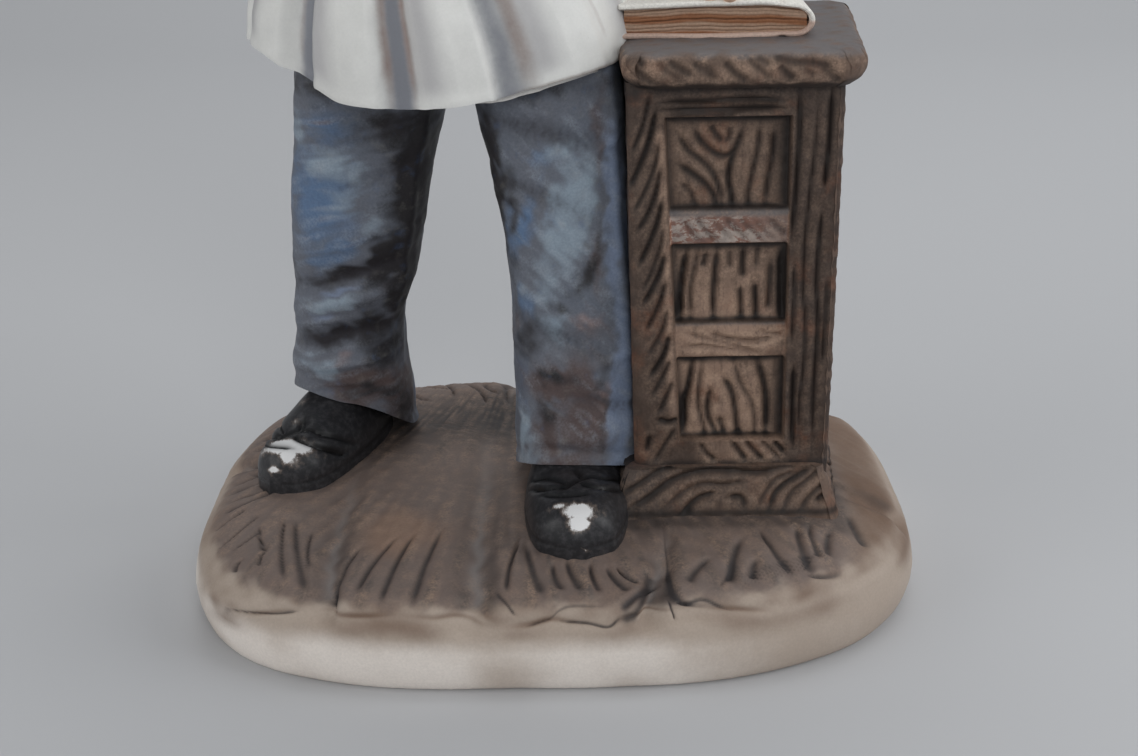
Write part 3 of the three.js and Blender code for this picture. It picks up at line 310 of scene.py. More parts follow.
# The flute beside the cabinet is only a shallow one
SHALLOW_FLUTE = {"number": 6, "share": 0.25}
# Lean of the flutes: that of the one in front, its place in degrees, and how the lean grows away from it
FLUTE_LEAN = {"front": -7, "middle": -9, "spread": 0.5, "reach": 95}
FLUTE_DEPTH = 0.055
FLUTE_DROP = 0.5
FLUTE_FADE = (108, 132)
# The skirt is fuller beside the cabinet: its flute line there, its reach along them, and how far it stands
# out
FULL_SIDE = {"line": 5.75, "reach": 0.5, "swell": 1.4}
# Paint of each flute: half width of its dark hollow, how far it lies to the right, and strength of the brown
# border on its left and right
FLUTE_PAINT = np.array([
    (0.14, 0, 0.6, 0.6), (0.14, 0, 0.5, 0.7), (0.04, 0, 0.1, 0.1), (0.15, 0.06, 0.5, 0.3),
    (0.14, 0, 0.8, 0.85),
    (0.19, 0, 0.25, 1.0), (0.1, 0, 0.6, 0.6), (0.14, 0, 0.6, 0.6), (0.15, 0, 0.5, 0.7), (0.14, 0, 0.7, 0.6),
])
TORSO_SQUARE = 0.1
TORSO_RISE = (120, 150)
COAT_HOLLOW = 3.6
# The closure of the coat: height, x
CLOSURE = [(91, -5.2), (98, -8.4), (105, -11.4), (115, -15.5), (125, -18.5), (135, -20.5), (145, -21)]
BUTTONS = [122.4, 129.6, 136.4]
BUTTON_RADIUS = 1.3
# A button's side profile: share of its radius, height over the coat
BUTTON_PROFILE = [
    (0.2, -1.2), (1.0, -1.0), (1.0, 0.35), (0.93, 0.6), (0.8, 0.66), (0.66, 0.5), (0.5, 0.44), (0.2, 0.42),
]
LAPEL = [(-20.4, 166), (-16.4, 166.5), (-13.2, 158), (-15.8, 154.6), (-12.4, 152.6), (-20.2, 138.6),
         (-19.6, 150)]
LAPEL_RELIEF = 1.0
# Breast pocket and the half belt at the back: left, right, foot, top
BREAST_POCKET = (-14.6, -7, 140, 149)
HALF_BELT = (-33, -9, 123.6, 127.4)
POCKET_RELIEF = 0.6

COLLAR = {"foot": 162, "top": 173.5, "half_width": 9.8, "half_depth": 9.4, "dip": 2.6}
NECK = {"foot": 162, "top": 180, "radius": 6.9}
NECK_MIDDLE = (-21, 4.4)

# Sleeves: x, y, z and radius from the shoulder to the cuff
RIGHT_SLEEVE = [
    (-35.6, 4.6, 158.6, 5), (-41.8, 4, 153.4, 8.2), (-47.2, 1.8, 143, 8.4), (-50, -0.6, 130.5, 8.1),
    (-47.2, -6.4, 127.6, 7.9), (-41, -13, 131.8, 7.3), (-35.6, -18.8, 136.6, 6.9),
]
LEFT_SLEEVE = [
    (-6.4, 5, 158.6, 5), (-0.2, 5.2, 153.4, 8.2), (6, 8.6, 143.5, 8.4), (11.4, 12.4, 132, 8.1),
    (16.8, 11.6, 125.8, 7.8), (22, 8.2, 119.4, 7.2), (26.6, 4.8, 113.6, 6.8),
]
SLEEVE_ACROSS = (0.94, 0.34, 0)

# Hands and forceps are rounded limbs: start, end, start radius, end radius
RIGHT_HAND = [
    ((-36.4, -17.6, 136), (-32.6, -22.6, 140), 4.2, 4.6),
    ((-32.6, -22.6, 140), (-31, -25, 143.6), 4.6, 3.8),
    ((-34.6, -26.4, 144.6), (-29.6, -28.6, 145.4), 1.75, 1.6),
    ((-34.8, -26.4, 141.6), (-29.4, -28.8, 142.2), 1.8, 1.65),
    ((-34.8, -26, 138.6), (-29.8, -28.2, 139.2), 1.75, 1.6),
    ((-34.4, -25, 135.9), (-30.4, -27.2, 136.4), 1.6, 1.5), ((-30, -22, 141), (-28.6, -25, 146.4), 2, 1.5),
]
LEFT_HAND = [
    ((25.6, 5.4, 114.4), (28.4, 2.6, 109.6), 4.2, 3.6), ((28.2, 2.6, 108.4), (30.6, -1.4, 106.6), 4.2, 3.4),
    ((27, -1.6, 106), (27.2, -8, 105.2), 1.6, 1.25), ((29.6, -1.8, 106), (30.3, -8.9, 105.2), 1.65, 1.3),
    ((32.1, -1.2, 106), (33.4, -8, 105.2), 1.6, 1.25), ((34, 0, 106), (36.2, -5.6, 105.2), 1.45, 1.15),
    ((26, 2.4, 106.8), (22.8, -3, 105.4), 1.7, 1.35),
]
FORCEPS = [
    ((-31.2, -27.2, 131), (-31.9, -27.2, 138), 0.95, 1.1),
    ((-31.9, -27.2, 138), (-31.3, -27.2, 149.4), 1.1, 1.5),
    ((-33.8, -27.4, 131.4), (-32.6, -27.4, 138), 0.95, 1.1),
    ((-31.3, -27.2, 149.4), (-32.9, -27.4, 154.6), 1.6, 0.75),
    ((-31.3, -27.2, 149.4), (-29.5, -27.4, 154.6), 1.6, 0.75),
]
TOOTH = {"crown": (-31.2, -27.4, 156.6), "radius": 2.3, "height": 4.4}

# Head in its own frame: the face looks to -Y
HEAD_PLACE = {"centre": (-21, 1.4, 187.4), "turn": -13, "nod": 7}
HEAD_SQUARE = 0.92
HEAD = [
    (-15.4, 1.4, -9.4, -6.4), (-14.6, 4, -11.2, -3.4), (-12.4, 6.4, -11.7, -0.4), (-9.5, 8, -11.5, 4.5),
    (-5.5, 9.2, -11.4, 9), (-1, 10.2, -11.1, 12), (4, 10.9, -11.5, 13.8), (8.5, 10.8, -10.9, 14),
    (12.5, 9, -8.2, 12.2), (15.2, 5.4, -3.8, 8.2), (16.1, 1.4, 0, 4),
]
# Features of the face: across, up, spread across, spread up, height. Those off the middle are mirrored
FACE = [
    (4.1, 1.9, 2.5, 1.5, -1.3), (4.1, 1.3, 1.5, 0.9, 0.75), (3.9, 4.4, 2.9, 0.9, 0.55),
    (0, -7.6, 2.6, 0.7, 0.55), (0, -9.3, 2.2, 0.75, 0.6), (0, -13, 2.6, 1.5, 0.6),
    (5.6, -3.4, 2.4, 2.2, 0.5), (0, -8.45, 3.0, 0.22, -0.35), (4.1, 1.25, 1.9, 0.2, -0.22),
    (4.1, 2.5, 2.0, 0.25, -0.2),
]
NOSE = {"root": (0, -10.2, 3), "tip": (0, -11.7, -3), "root_radius": 1.1, "tip_radius": 1.75, "wing": 1.1}
EAR = {"across": 10.4, "along": 1.4, "up": 0.4, "half": (1.5, 2, 3.7)}
HAIR = {"thick": 1.3, "sink": 1.4, "brow": 9.2, "temple": -1.5, "nape": -9.6, "locks": 10, "lock_depth": 0.42}
HAIR_MIDDLE = (0, 1.2, 1)
HEAD_REACH = 12

# Camera that matches the photograph, in millimetres and degrees
CAMERA = {"place": (3.089, -269.695, 146.396), "down": 22.5, "roll": 1.0, "lens": 50, "sensor": 36}


# Share of the light that white paper gives back in the photograph
STUDIO_LIGHT = 0.6


# Number tools

def bump(x, spread):
    """A bell over x, one at zero."""
    return np.exp(-(x / spread) ** 2)


def fade(x, start, end):
    """A smooth step from nought at start to one at end."""
    t = np.clip((x - start) / (end - start), 0, 1)
    return t * t * (3 - 2 * t)


def rounded(value, exponent):
    """A cosine or sine drawn towards a squarer form by an exponent under one."""
    return np.sign(value) * np.abs(value) ** exponent


def blend(a, b, share):
    return a + (b - a) * share


def follow(stations, place):
    """Smooth values between stations: a cubic through each, with its slope taken from its neighbours."""
    table = np.array(stations, float)
    at, values = table[:, 0], table[:, 1:]
    last = len(at) - 1
    place = np.asarray(place, float)
    i = np.clip(np.searchsorted(at, place) - 1, 0, last - 1)
    before, after = np.maximum(i - 1, 0), np.minimum(i + 2, last)
    step = (at[i + 1] - at[i])[..., None]
    s = np.clip((place - at[i])[..., None] / step, 0, 1)
    slope_in = (values[i + 1] - values[before]) / (at[i + 1] - at[before])[..., None] * step
    slope_out = (values[after] - values[i]) / (at[after] - at[i])[..., None] * step
    smooth = values[i] + (values[i + 1] - values[i]) * s * s * (3 - 2 * s)
    return np.moveaxis(smooth + slope_in * s * (1 - s) ** 2 - slope_out * s * s * (1 - s), -1, 0)


def ripple(points, wave, seed, waves=9):
    """Irregular smooth unevenness of about -1 to 1: a sum of sine waves along seeded directions."""
    rng = np.random.default_rng(seed)
    total = np.zeros(points.shape[:-1])
    for _ in range(waves):
        way = rng.normal(size=points.shape[-1])
        way *= 2 * math.pi / (wave * rng.uniform(0.6, 1.5) * np.linalg.norm(way))
        total += np.sin(points @ way + rng.uniform(0, 2 * math.pi))
    return total / math.sqrt(waves)


def lines(field, spacing, width, seed):
    """Carved lines where field is a multiple of spacing: the bell of the distance to the nearest one, each
    with a strength of its own."""
    nearest = np.round(field / spacing)
    strength = 0.65 + 0.35 * np.sin(nearest * 2.4 + seed)
    return bump(field - nearest * spacing, width * (0.75 + 0.25 * strength)) * strength


def stroke(x, y, start, end, width, bow=0.0):
    """One tooled stroke: a bell across the way from start to end, bowed to one side, which tapers at both
    ends."""
    run = np.array(end, float) - start
    reach = np.hypot(*run)
    along = ((x - start[0]) * run[0] + (y - start[1]) * run[1]) / reach ** 2
    off = ((x - start[0]) * run[1] - (y - start[1]) * run[0]) / reach
    off = off - bow * 4 * along * (1 - along)
    taper = fade(along, -0.06, 0.25) * (1 - fade(along, 0.88, 1.08))
    return bump(off, width * (0.5 + 0.5 * np.clip(along, 0, 1))) * taper


def carve(x, z, paths, width, reach=4.0):
    """Grooves along smooth paths: for each point the bell of its distance to the nearest path, where a
    path's strength fades at its ends. Gives the grooves' depth, and the same three times as wide for their
    soft sides."""
    core, wide = np.zeros(x.shape), np.zeros(x.shape)
    for number, path in enumerate(paths):
        knots = [(k, *point) for k, point in enumerate(path)]
        t = np.linspace(0, len(path) - 1, 7 * (len(path) - 1) + 1)
        px, pz = follow(knots, t)
        near = (x > px.min() - reach) & (x < px.max() + reach)
        near &= (z > pz.min() - reach) & (z < pz.max() + reach)
        gx, gz = x[near], z[near]
        best, place = np.full(gx.shape, 1e9), np.zeros(gx.shape)
        for k in range(len(t) - 1):
            dx, dz = px[k + 1] - px[k], pz[k + 1] - pz[k]
            s = np.clip(((gx - px[k]) * dx + (gz - pz[k]) * dz) / (dx * dx + dz * dz), 0, 1)
            off = np.hypot(gx - px[k] - s * dx, gz - pz[k] - s * dz)
            place = np.where(off < best, (k + s) / (len(t) - 1), place)
            best = np.minimum(best, off)
        strength = 0.45 + 0.55 * fade(place, 0, 0.15) * (1 - fade(place, 0.85, 1))
        strength = strength * (0.85 + 0.15 * math.sin(number * 2.3))
        core[near] = np.maximum(core[near], bump(best, width * (0.6 + 0.4 * strength)) * strength)
        wide[near] = np.maximum(wide[near], bump(best, 2.6 * width) * strength)
    return core, wide


def inside(x, z, outline):
    """How far a point lies inside a closed outline: the distance to its nearest edge, negative outside."""
    nearest, crossings = np.full(x.shape, 1e9), np.zeros(x.shape, bool)
    for (ax, az), (bx, bz) in zip(outline, outline[1:] + outline[:1]):
        dx, dz = bx - ax, bz - az
        t = np.clip(((x - ax) * dx + (z - az) * dz) / (dx * dx + dz * dz), 0, 1)
        nearest = np.minimum(nearest, np.hypot(x - ax - t * dx, z - az - t * dz))
        with np.errstate(divide="ignore", invalid="ignore"):
            crossings ^= ((az > z) != (bz > z)) & (x < dx * (z - az) / dz + ax)
    return np.where(crossings, nearest, -nearest)


def spread(*runs):
    """Places along a line: even steps through each (start, end, step), with the ends kept."""
    return np.concatenate([
        np.linspace(start, end, max(2, int(math.ceil(abs(end - start) / step)) + 1))
        for start, end, step in runs
    ])


def turned(x, y, degrees):
    c, s = math.cos(degrees * DEG), math.sin(degrees * DEG)
    return x * c - y * s, x * s + y * c


# Mesh tools

def shell(points, masks=None, ends=None):
    """A closed surface from rows of points round a form, closed at both ends by a pole: its corners in
    millimetres, its faces turned outwards, and its masks, which are values for each corner."""
    rows, around, _ = points.shape
    foot, head = (points[0].mean(0), points[-1].mean(0)) if ends is None else ends
    corners = np.vstack([points.reshape(-1, 3), foot, head])
    row, column = np.mgrid[0:rows - 1, 0:around]
    a, b = row * around + column, row * around + (column + 1) % around
    quads = np.stack([a, b, b + around, a + around], -1).reshape(-1, 4)
    first = np.arange(around)
    following, top = (first + 1) % around, (rows - 1) * around
    low = np.stack([np.full(around, rows * around), following, first], -1)
    high = np.stack([np.full(around, rows * around + 1), top + first, top + following], -1)
    tris = np.vstack([low, high])
    p, q, r, s = (corners[quads[:, k]] for k in range(4))
    volume = np.einsum("ij,ij->", p, np.cross(q, r)) + np.einsum("ij,ij->", p, np.cross(r, s))
    p, q, r = (corners[tris[:, k]] for k in range(3))
    if volume + np.einsum("ij,ij->", p, np.cross(q, r)) < 0:
        quads, tris = quads[:, ::-1], tris[:, ::-1]
    values = {}
    for name, mask in (masks or {}).items():
        mask = np.broadcast_to(mask, (rows, around))
        values[name] = np.concatenate([mask.ravel(), [mask[0].mean(), mask[-1].mean()]])
    return {"corners": corners, "quads": quads, "tris": tris, "masks": values}


def placed(part, change):
    """The same shell with its corners moved by a function."""
    return {**part, "corners": change(part["corners"])}


def limb(start, end, start_radius, end_radius, sides=28, cap=7, body=14):
    """A limb with round ends: a circle carried along a line whose radius goes from start to end."""
    start, end = np.array(start, float), np.array(end, float)
    axis = end - start
    length = np.linalg.norm(axis)
    axis = axis / length
    side = np.cross(axis, [0.37, 0.93, 0.11])
    side /= np.linalg.norm(side)
    up = np.cross(axis, side)
    t = np.linspace(0.12, 1, cap) * math.pi / 2
    s = np.linspace(0, 1, body)[1:-1]
    radius = np.concatenate([start_radius * np.sin(t), blend(start_radius, end_radius, s),
        end_radius * np.sin(t[::-1])])
    along = np.concatenate([-start_radius * np.cos(t), length * s, length + end_radius * np.cos(t[::-1])])
    angle = np.linspace(0, 2 * math.pi, sides, endpoint=False)
    ring = np.cos(angle)[:, None] * side + np.sin(angle)[:, None] * up
    points = start + along[:, None, None] * axis + radius[:, None, None] * ring
    return shell(points, ends=(start - start_radius * axis, end + end_radius * axis))


def to_object(name, part, material):
    """A mesh object from a shell, with its masks as attributes and one material."""
    mesh = bpy.data.meshes.new(name)
    quads, tris = part["quads"], part["tris"]
    corners = np.concatenate([quads.ravel(), tris.ravel()])
    starts = np.concatenate([np.arange(len(quads)) * 4, len(quads) * 4 + np.arange(len(tris)) * 3])
    mesh.vertices.add(len(part["corners"]))
    mesh.vertices.foreach_set("co", (part["corners"] * MM).astype(np.float32).ravel())
    mesh.loops.add(len(corners))
    mesh.loops.foreach_set("vertex_index", corners.astype(np.int32))
    mesh.polygons.add(len(starts))
    mesh.polygons.foreach_set("loop_start", starts.astype(np.int32))
    mesh.update(calc_edges=True)
    mesh.shade_smooth()
    for key, values in part["masks"].items():
        attribute = mesh.attributes.new(key, "FLOAT", "POINT")
        attribute.data.foreach_set("value", values.astype(np.float32))
    mesh.materials.append(material)
    made = bpy.data.objects.new(name, mesh)
    bpy.context.scene.collection.objects.link(made)
    return made


def cast(name, parts):
    """One closed piece from several: each (shell, material) is joined to the first as a solid. A mask is
    kept one higher while they are joined, so that a corner made by the join is known by its nought and gets
    the mean of its neighbours' values."""
    keys = sorted({key for part, _ in parts for key in part["masks"]})
    objects = []
    for k, (part, material) in enumerate(parts):
        count = len(part["corners"])
        masks = {key: part["masks"].get(key, np.zeros(count)) + 1 for key in keys}
        objects.append(to_object(f"{name}_{k}" if k else name, {**part, "masks": masks}, material))
    whole = objects[0]
    if len(objects) > 1:
        group = bpy.data.collections.new(name + "_parts")
        for other in objects[1:]:
            group.objects.link(other)
        join = whole.modifiers.new("Join", "BOOLEAN")
        join.operation, join.solver, join.material_mode = "UNION", "MANIFOLD", "TRANSFER"
        join.operand_type, join.collection = "COLLECTION", group
        bpy.context.view_layer.update()
        found = whole.evaluated_get(bpy.context.evaluated_depsgraph_get())
        mesh = bpy.data.meshes.new_from_object(found)
        whole.modifiers.clear()
        whole.data = mesh
        for other in objects[1:]:
            bpy.data.objects.remove(other)
        bpy.data.collections.remove(group)
    mesh = whole.data
    count = len(mesh.vertices)
    ends = np.empty(len(mesh.edges) * 2, np.int32)
    mesh.edges.foreach_get("vertices", ends)
    ends = ends.reshape(-1, 2)
    for key in keys:
        values = np.empty(count, np.float32)
        mesh.attributes[key].data.foreach_get("value", values)
        for _ in range(4):
            known = values > 0.5
            total, weight = np.zeros(count), np.zeros(count)
            for a, b in ((0, 1), (1, 0)):
                np.add.at(total, ends[:, a], np.where(known[ends[:, b]], values[ends[:, b]], 0))
                np.add.at(weight, ends[:, a], known[ends[:, b]])
            values = np.where(known | (weight == 0), values, total / np.maximum(weight, 1))
        mesh.attributes[key].data.foreach_set("value", np.clip(values - 1, 0, 1).astype(np.float32))
    mesh.set_sharp_from_angle(angle=55 * DEG)
    return finish_piece(whole)


def finish_piece(piece):
    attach(piece, BODY)
    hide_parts(NODE)
    return piece


# Shader tools

def node(tree, kind, inputs=None, **settings):
    """A node with its settings and inputs, each a value or another node's output."""
    made = tree.nodes.new(kind)
    for key, value in settings.items():
        setattr(made, key, value)
    for key, value in (inputs or {}).items():
        if isinstance(value, bpy.types.NodeSocket):
            tree.links.new(value, made.inputs[key])
        else:
            made.inputs[key].default_value = value
    return made


def math_node(tree, operation, a, b=0.0, clamp=False):
    return node(tree, "ShaderNodeMath", {0: a, 1: b}, operation=operation, use_clamp=clamp).outputs[0]


def mix(tree, share, a, b, kind="MIX"):
    # Sockets 6, 7 and 2 are the two colours and the result
    return node(tree, "ShaderNodeMix", {0: share, 6: a, 7: b}, data_type="RGBA", blend_type=kind).outputs[2]


def noise(tree, vector, scale, detail=3.0, rough=0.55, stretch=None):
    if stretch is not None:
        vector = node(tree, "ShaderNodeMapping", {"Vector": vector, "Scale": stretch}).outputs[0]
    inputs = {"Vector": vector, "Scale": scale, "Detail": detail, "Roughness": rough}
    return node(tree, "ShaderNodeTexNoise", inputs).outputs["Fac"]


def between(tree, value, low, high):
    """A value's place between low and high, as a smooth share."""
    inputs = {"Value": value, "From Min": low, "From Max": high}
    return node(tree, "ShaderNodeMapRange", inputs, interpolation_type="SMOOTHSTEP").outputs[0]


def mask(tree, name):
    return node(tree, "ShaderNodeAttribute", attribute_name=name, attribute_type="GEOMETRY").outputs["Fac"]


def group_of(name, inputs, outputs):
    """An empty shader group with its sockets, its input node and its output node."""
    tree = bpy.data.node_groups.new(name, "ShaderNodeTree")
    for label, kind, default in inputs:
        socket = tree.interface.new_socket(label, in_out="INPUT", socket_type="NodeSocket" + kind)
        if default is not None:
            socket.default_value = default
    for label, kind in outputs:
        tree.interface.new_socket(label, in_out="OUTPUT", socket_type="NodeSocket" + kind)
    return tree, tree.nodes.new("NodeGroupInput").outputs, tree.nodes.new("NodeGroupOutput").inputs


def wash_group():
    """Paint wiped back: dark wash stays in the hollows with a ragged edge, a dry brush catches the ridges,
    and the grain of the bisque shows through both."""
    tree, given, out = group_of(
        "Wash And Dry Brush",
        [
            ("Vector", "Vector", None), ("Paint", "Color", (0.5, 0.5, 0.5, 1)),
            ("Wash", "Color", (0.05, 0.04, 0.03, 1)),
            ("Brush", "Color", (0.7, 0.6, 0.5, 1)), ("Groove", "Float", 0.0), ("Ridge", "Float", 0.0),
            ("Grit", "Float", 1.0),
        ],
        [("Color", "Color")],
    )
    cloud = noise(tree, given["Vector"], 420.0, 5.0, 0.65)
    grit = noise(tree, given["Vector"], 2300.0, 2.0, 0.6)
    swing = math_node(tree, "SUBTRACT", cloud, 0.5)
    both = math_node(tree, "ADD", swing,
        math_node(tree, "MULTIPLY", math_node(tree, "SUBTRACT", grit, 0.5), 0.6))
    caught = math_node(tree, "MULTIPLY", given["Ridge"],
        between(tree, math_node(tree, "ADD", both, 0.5), 0.22, 0.9))
    brushed = mix(tree, caught, given["Paint"], given["Brush"])
    hollow = between(tree, math_node(tree, "ADD", given["Groove"], math_node(tree, "MULTIPLY", swing, 0.35)),
        0.04, 0.9)
    washed_over = mix(tree, hollow, brushed, given["Wash"])
    light = node(tree, "ShaderNodeMapRange",
        {"Value": grit, "From Min": 0.3, "From Max": 0.7, "To Min": -0.14, "To Max": 0.12})
    light = math_node(tree, "ADD", 1.0, math_node(tree, "MULTIPLY", light.outputs[0], given["Grit"]))
    gritty = node(tree, "ShaderNodeVectorMath", {0: washed_over, "Scale": light}, operation="SCALE")
    tree.links.new(gritty.outputs[0], out["Color"])
    return tree


def patches_group():
    """Uneven patches of a second paint: a soft-edged cloud of the given size and amount."""
    tree, given, out = group_of(
        "Paint Patches",
        [
            ("Vector", "Vector", None), ("Color", "Color", (0.5, 0.5, 0.5, 1)),
            ("Patch", "Color", (0.3, 0.3, 0.3, 1)),
            ("Scale", "Float", 60.0), ("Amount", "Float", 0.5), ("Share", "Float", 1.0),
            ("Softness", "Float", 0.2),
        ],
        [("Color", "Color")],
    )
    cloud = noise(tree, given["Vector"], given["Scale"], 5.0, 0.62)
    edge = math_node(tree, "SUBTRACT", 1.0, given["Amount"])
    low = math_node(tree, "SUBTRACT", edge, given["Softness"])
    high = math_node(tree, "ADD", edge, given["Softness"])
    found = math_node(tree, "MULTIPLY", between(tree, cloud, low, high), given["Share"], clamp=True)
    tree.links.new(mix(tree, found, given["Color"], given["Patch"]), out["Color"])
    return tree


def uneven_group():
    """A painted area's mask with an irregular border: the mask shifted by a cloud, and then drawn between a
    low and a high value."""
    tree, given, out = group_of(
        "Uneven Border",
        [("Vector", "Vector", None), ("Mask", "Float", 0.0), ("Scale", "Float", 200.0),
            ("Swing", "Float", 0.5),
         ("Low", "Float", 0.2), ("High", "Float", 0.8)],
        [("Mask", "Float")],
    )
    cloud = math_node(tree, "SUBTRACT", noise(tree, given["Vector"], given["Scale"], 5.0, 0.68), 0.5)
    moved = math_node(tree, "ADD", given["Mask"], math_node(tree, "MULTIPLY", cloud, given["Swing"]))
    tree.links.new(between(tree, moved, given["Low"], given["High"]), out["Mask"])
    return tree


def airbrush_group():
    """Airbrushed shading: surfaces that face up take a cool grey, more so where the cloud is dense."""
    tree, given, out = group_of(
        "Airbrushed Top",
        [("Vector", "Vector", None), ("Color", "Color", (0.5, 0.5, 0.5, 1)),
            ("Dust", "Color", (0.3, 0.3, 0.32, 1)),
         ("Share", "Float", 0.5)],
        [("Color", "Color")],
    )
    normal = node(tree, "ShaderNodeNewGeometry").outputs["Normal"]
    up = node(tree, "ShaderNodeSeparateXYZ", {0: normal}).outputs["Z"]
    cloud = noise(tree, given["Vector"], 45.0, 3.0)
    facing = between(tree, math_node(tree, "ADD", up, math_node(tree, "MULTIPLY", cloud, 0.3)), 0.55, 1.15)
    share = math_node(tree, "MULTIPLY", facing, given["Share"], clamp=True)
    tree.links.new(mix(tree, share, given["Color"], given["Dust"]), out["Color"])
    return tree


def bisque_group():
    """The fine tooth of unglazed porcelain: a height from two sizes of grain, and a roughness."""
    tree, given, out = group_of(
        "Bisque Grain",
        [("Vector", "Vector", None), ("Brush Marks", "Float", 0.3)],
        [("Height", "Float"), ("Roughness", "Float")],
    )
    grain = noise(tree, given["Vector"], 2600.0, 3.0)
    drag = noise(tree, given["Vector"], 420.0, 3.0, 0.6, stretch=(1.0, 1.0, 0.35))
    brush = math_node(tree, "MULTIPLY", drag, given["Brush Marks"])
    height = math_node(tree, "ADD", math_node(tree, "MULTIPLY", grain, 0.35), brush)
    tree.links.new(height, out["Height"])
    tree.links.new(math_node(tree, "ADD", math_node(tree, "MULTIPLY", drag, 0.25), 0.5), out["Roughness"])
    return tree


def shared(name, maker):
    return bpy.data.node_groups.get(name) or maker()


def use(tree, group, inputs):
    made = node(tree, "ShaderNodeGroup", node_tree=group)
    for key, value in inputs.items():
        if isinstance(value, bpy.types.NodeSocket):
            tree.links.new(value, made.inputs[key])
        else:
            made.inputs[key].default_value = value
    return made.outputs


def washed(tree, vector, painted, wash, brush, ridge=None, grit=1.0):
    inputs = {
        "Vector": vector, "Paint": painted, "Wash": wash, "Brush": brush, "Groove": mask(tree, "groove"),
        "Ridge": mask(tree, "ridge") if ridge is None else ridge, "Grit": grit,
    }
    return use(tree, shared("Wash And Dry Brush", wash_group), inputs)["Color"]


def patches(tree, vector, main, patch, scale, amount, softness, share=1.0):
    inputs = {
        "Vector": vector, "Color": main, "Patch": patch, "Scale": scale, "Amount": amount, "Share": share,
        "Softness": softness,
    }
    return use(tree, shared("Paint Patches", patches_group), inputs)["Color"]


def uneven(tree, vector, value, scale, swing, low, high):
    inputs = {"Vector": vector, "Mask": value, "Scale": scale, "Swing": swing, "Low": low, "High": high}
    return use(tree, shared("Uneven Border", uneven_group), inputs)["Mask"]


def airbrushed(tree, vector, painted, dust, share):
    inputs = {"Vector": vector, "Color": painted, "Dust": dust, "Share": share}
    return use(tree, shared("Airbrushed Top", airbrush_group), inputs)["Color"]


def srgb(red, green, blue):
    """A colour as it looks, 0 to 255, as the linear values that shaders use."""
    return tuple(((v / 255 + 0.055) / 1.055) ** 2.4 if v > 10 else v / 255 / 12.92
        for v in (red, green, blue)) + (1.0,)


def seen(red, green, blue):
    """The paint that looks like this colour, 0 to 255, under the studio's light."""
    return tuple(min(v / STUDIO_LIGHT, 0.9) for v in srgb(red, green, blue)[:3]) + (1.0,)


def paint(name, colour, rough=0.62, marks=0.3, depth=0.12, coat=0.0):
    """A painted bisque material. colour(tree, vector) gives the socket of its colour."""
    if name in bpy.data.materials:
        return bpy.data.materials[name]
    material = bpy.data.materials.new(name)
    material.use_nodes = True
    tree = material.node_tree
    tree.nodes.clear()
    vector = node(tree, "ShaderNodeTexCoord").outputs["Object"]
    grain = use(tree, shared("Bisque Grain", bisque_group), {"Vector": vector, "Brush Marks": marks})
    bumped = node(tree, "ShaderNodeBump",
        {"Height": grain["Height"], "Strength": 0.5, "Distance": depth * MM})
    roughness = math_node(tree, "MULTIPLY", grain["Roughness"], rough / 0.62, clamp=True)
    surface = node(tree, "ShaderNodeBsdfPrincipled", {
        "Base Color": colour(tree, vector), "Roughness": roughness, "Normal": bumped.outputs[0],
        "Coat Weight": coat, "Coat Roughness": 0.25, "Specular IOR Level": 0.35,
    })
    out = node(tree, "ShaderNodeOutputMaterial", {"Surface": surface.outputs[0]})
    out.is_active_output = True
    return material


# Paints

def stone_colour(tree, vector):
    settings = bpy.context.scene.figurine_base
    cream = patches(tree, vector, (*settings.cream, 1), seen(142, 129, 118), 30.0, 0.5, 0.3)
    cream = mix(tree, uneven(tree, vector, mask(tree, "foot"), 60.0, 0.8, 0.1, 1.0), cream,
        seen(196, 187, 180))
    # Brown stain, with painted shade in and just under the ledge's crease
    cream = mix(tree, uneven(tree, vector, mask(tree, "stain"), 110.0, 0.35, 0.02, 0.95), cream,
        seen(96, 77, 64))
    brown = patches(tree, vector, (*settings.stone, 1), seen(106, 88, 78), 60.0, 0.44, 0.3)
    brown = mix(tree, uneven(tree, vector, mask(tree, "streak"), 260.0, 0.3, 0.35, 1.2), brown,
        seen(62, 57, 55))
    brown = mix(tree, uneven(tree, vector, mask(tree, "glow"), 120.0, 0.4, 0.2, 1.1), brown,
        seen(128, 102, 84))
    brown = airbrushed(tree, vector, brown, seen(88, 83, 82), 0.35)
    brown = mix(tree, mask(tree, "channel"), brown, seen(112, 107, 105))
    top = uneven(tree, vector, mask(tree, "top"), 200.0, 0.3, 0.05, 0.95)
    ground = mix(tree, top, cream, brown)
    # Painted shade round the cabinet's foot and beside the joints, and dark paint with painted shade behind
    # the figure
    ground = mix(tree, mask(tree, "dark"), ground, seen(44, 41, 41))
    return washed(tree, vector, ground, seen(50, 46, 46), seen(140, 118, 102), grit=0.35)


# The rail's dry-brushed white, as linear values
WARM_WHITE = (0.95, 0.78, 0.66, 1)


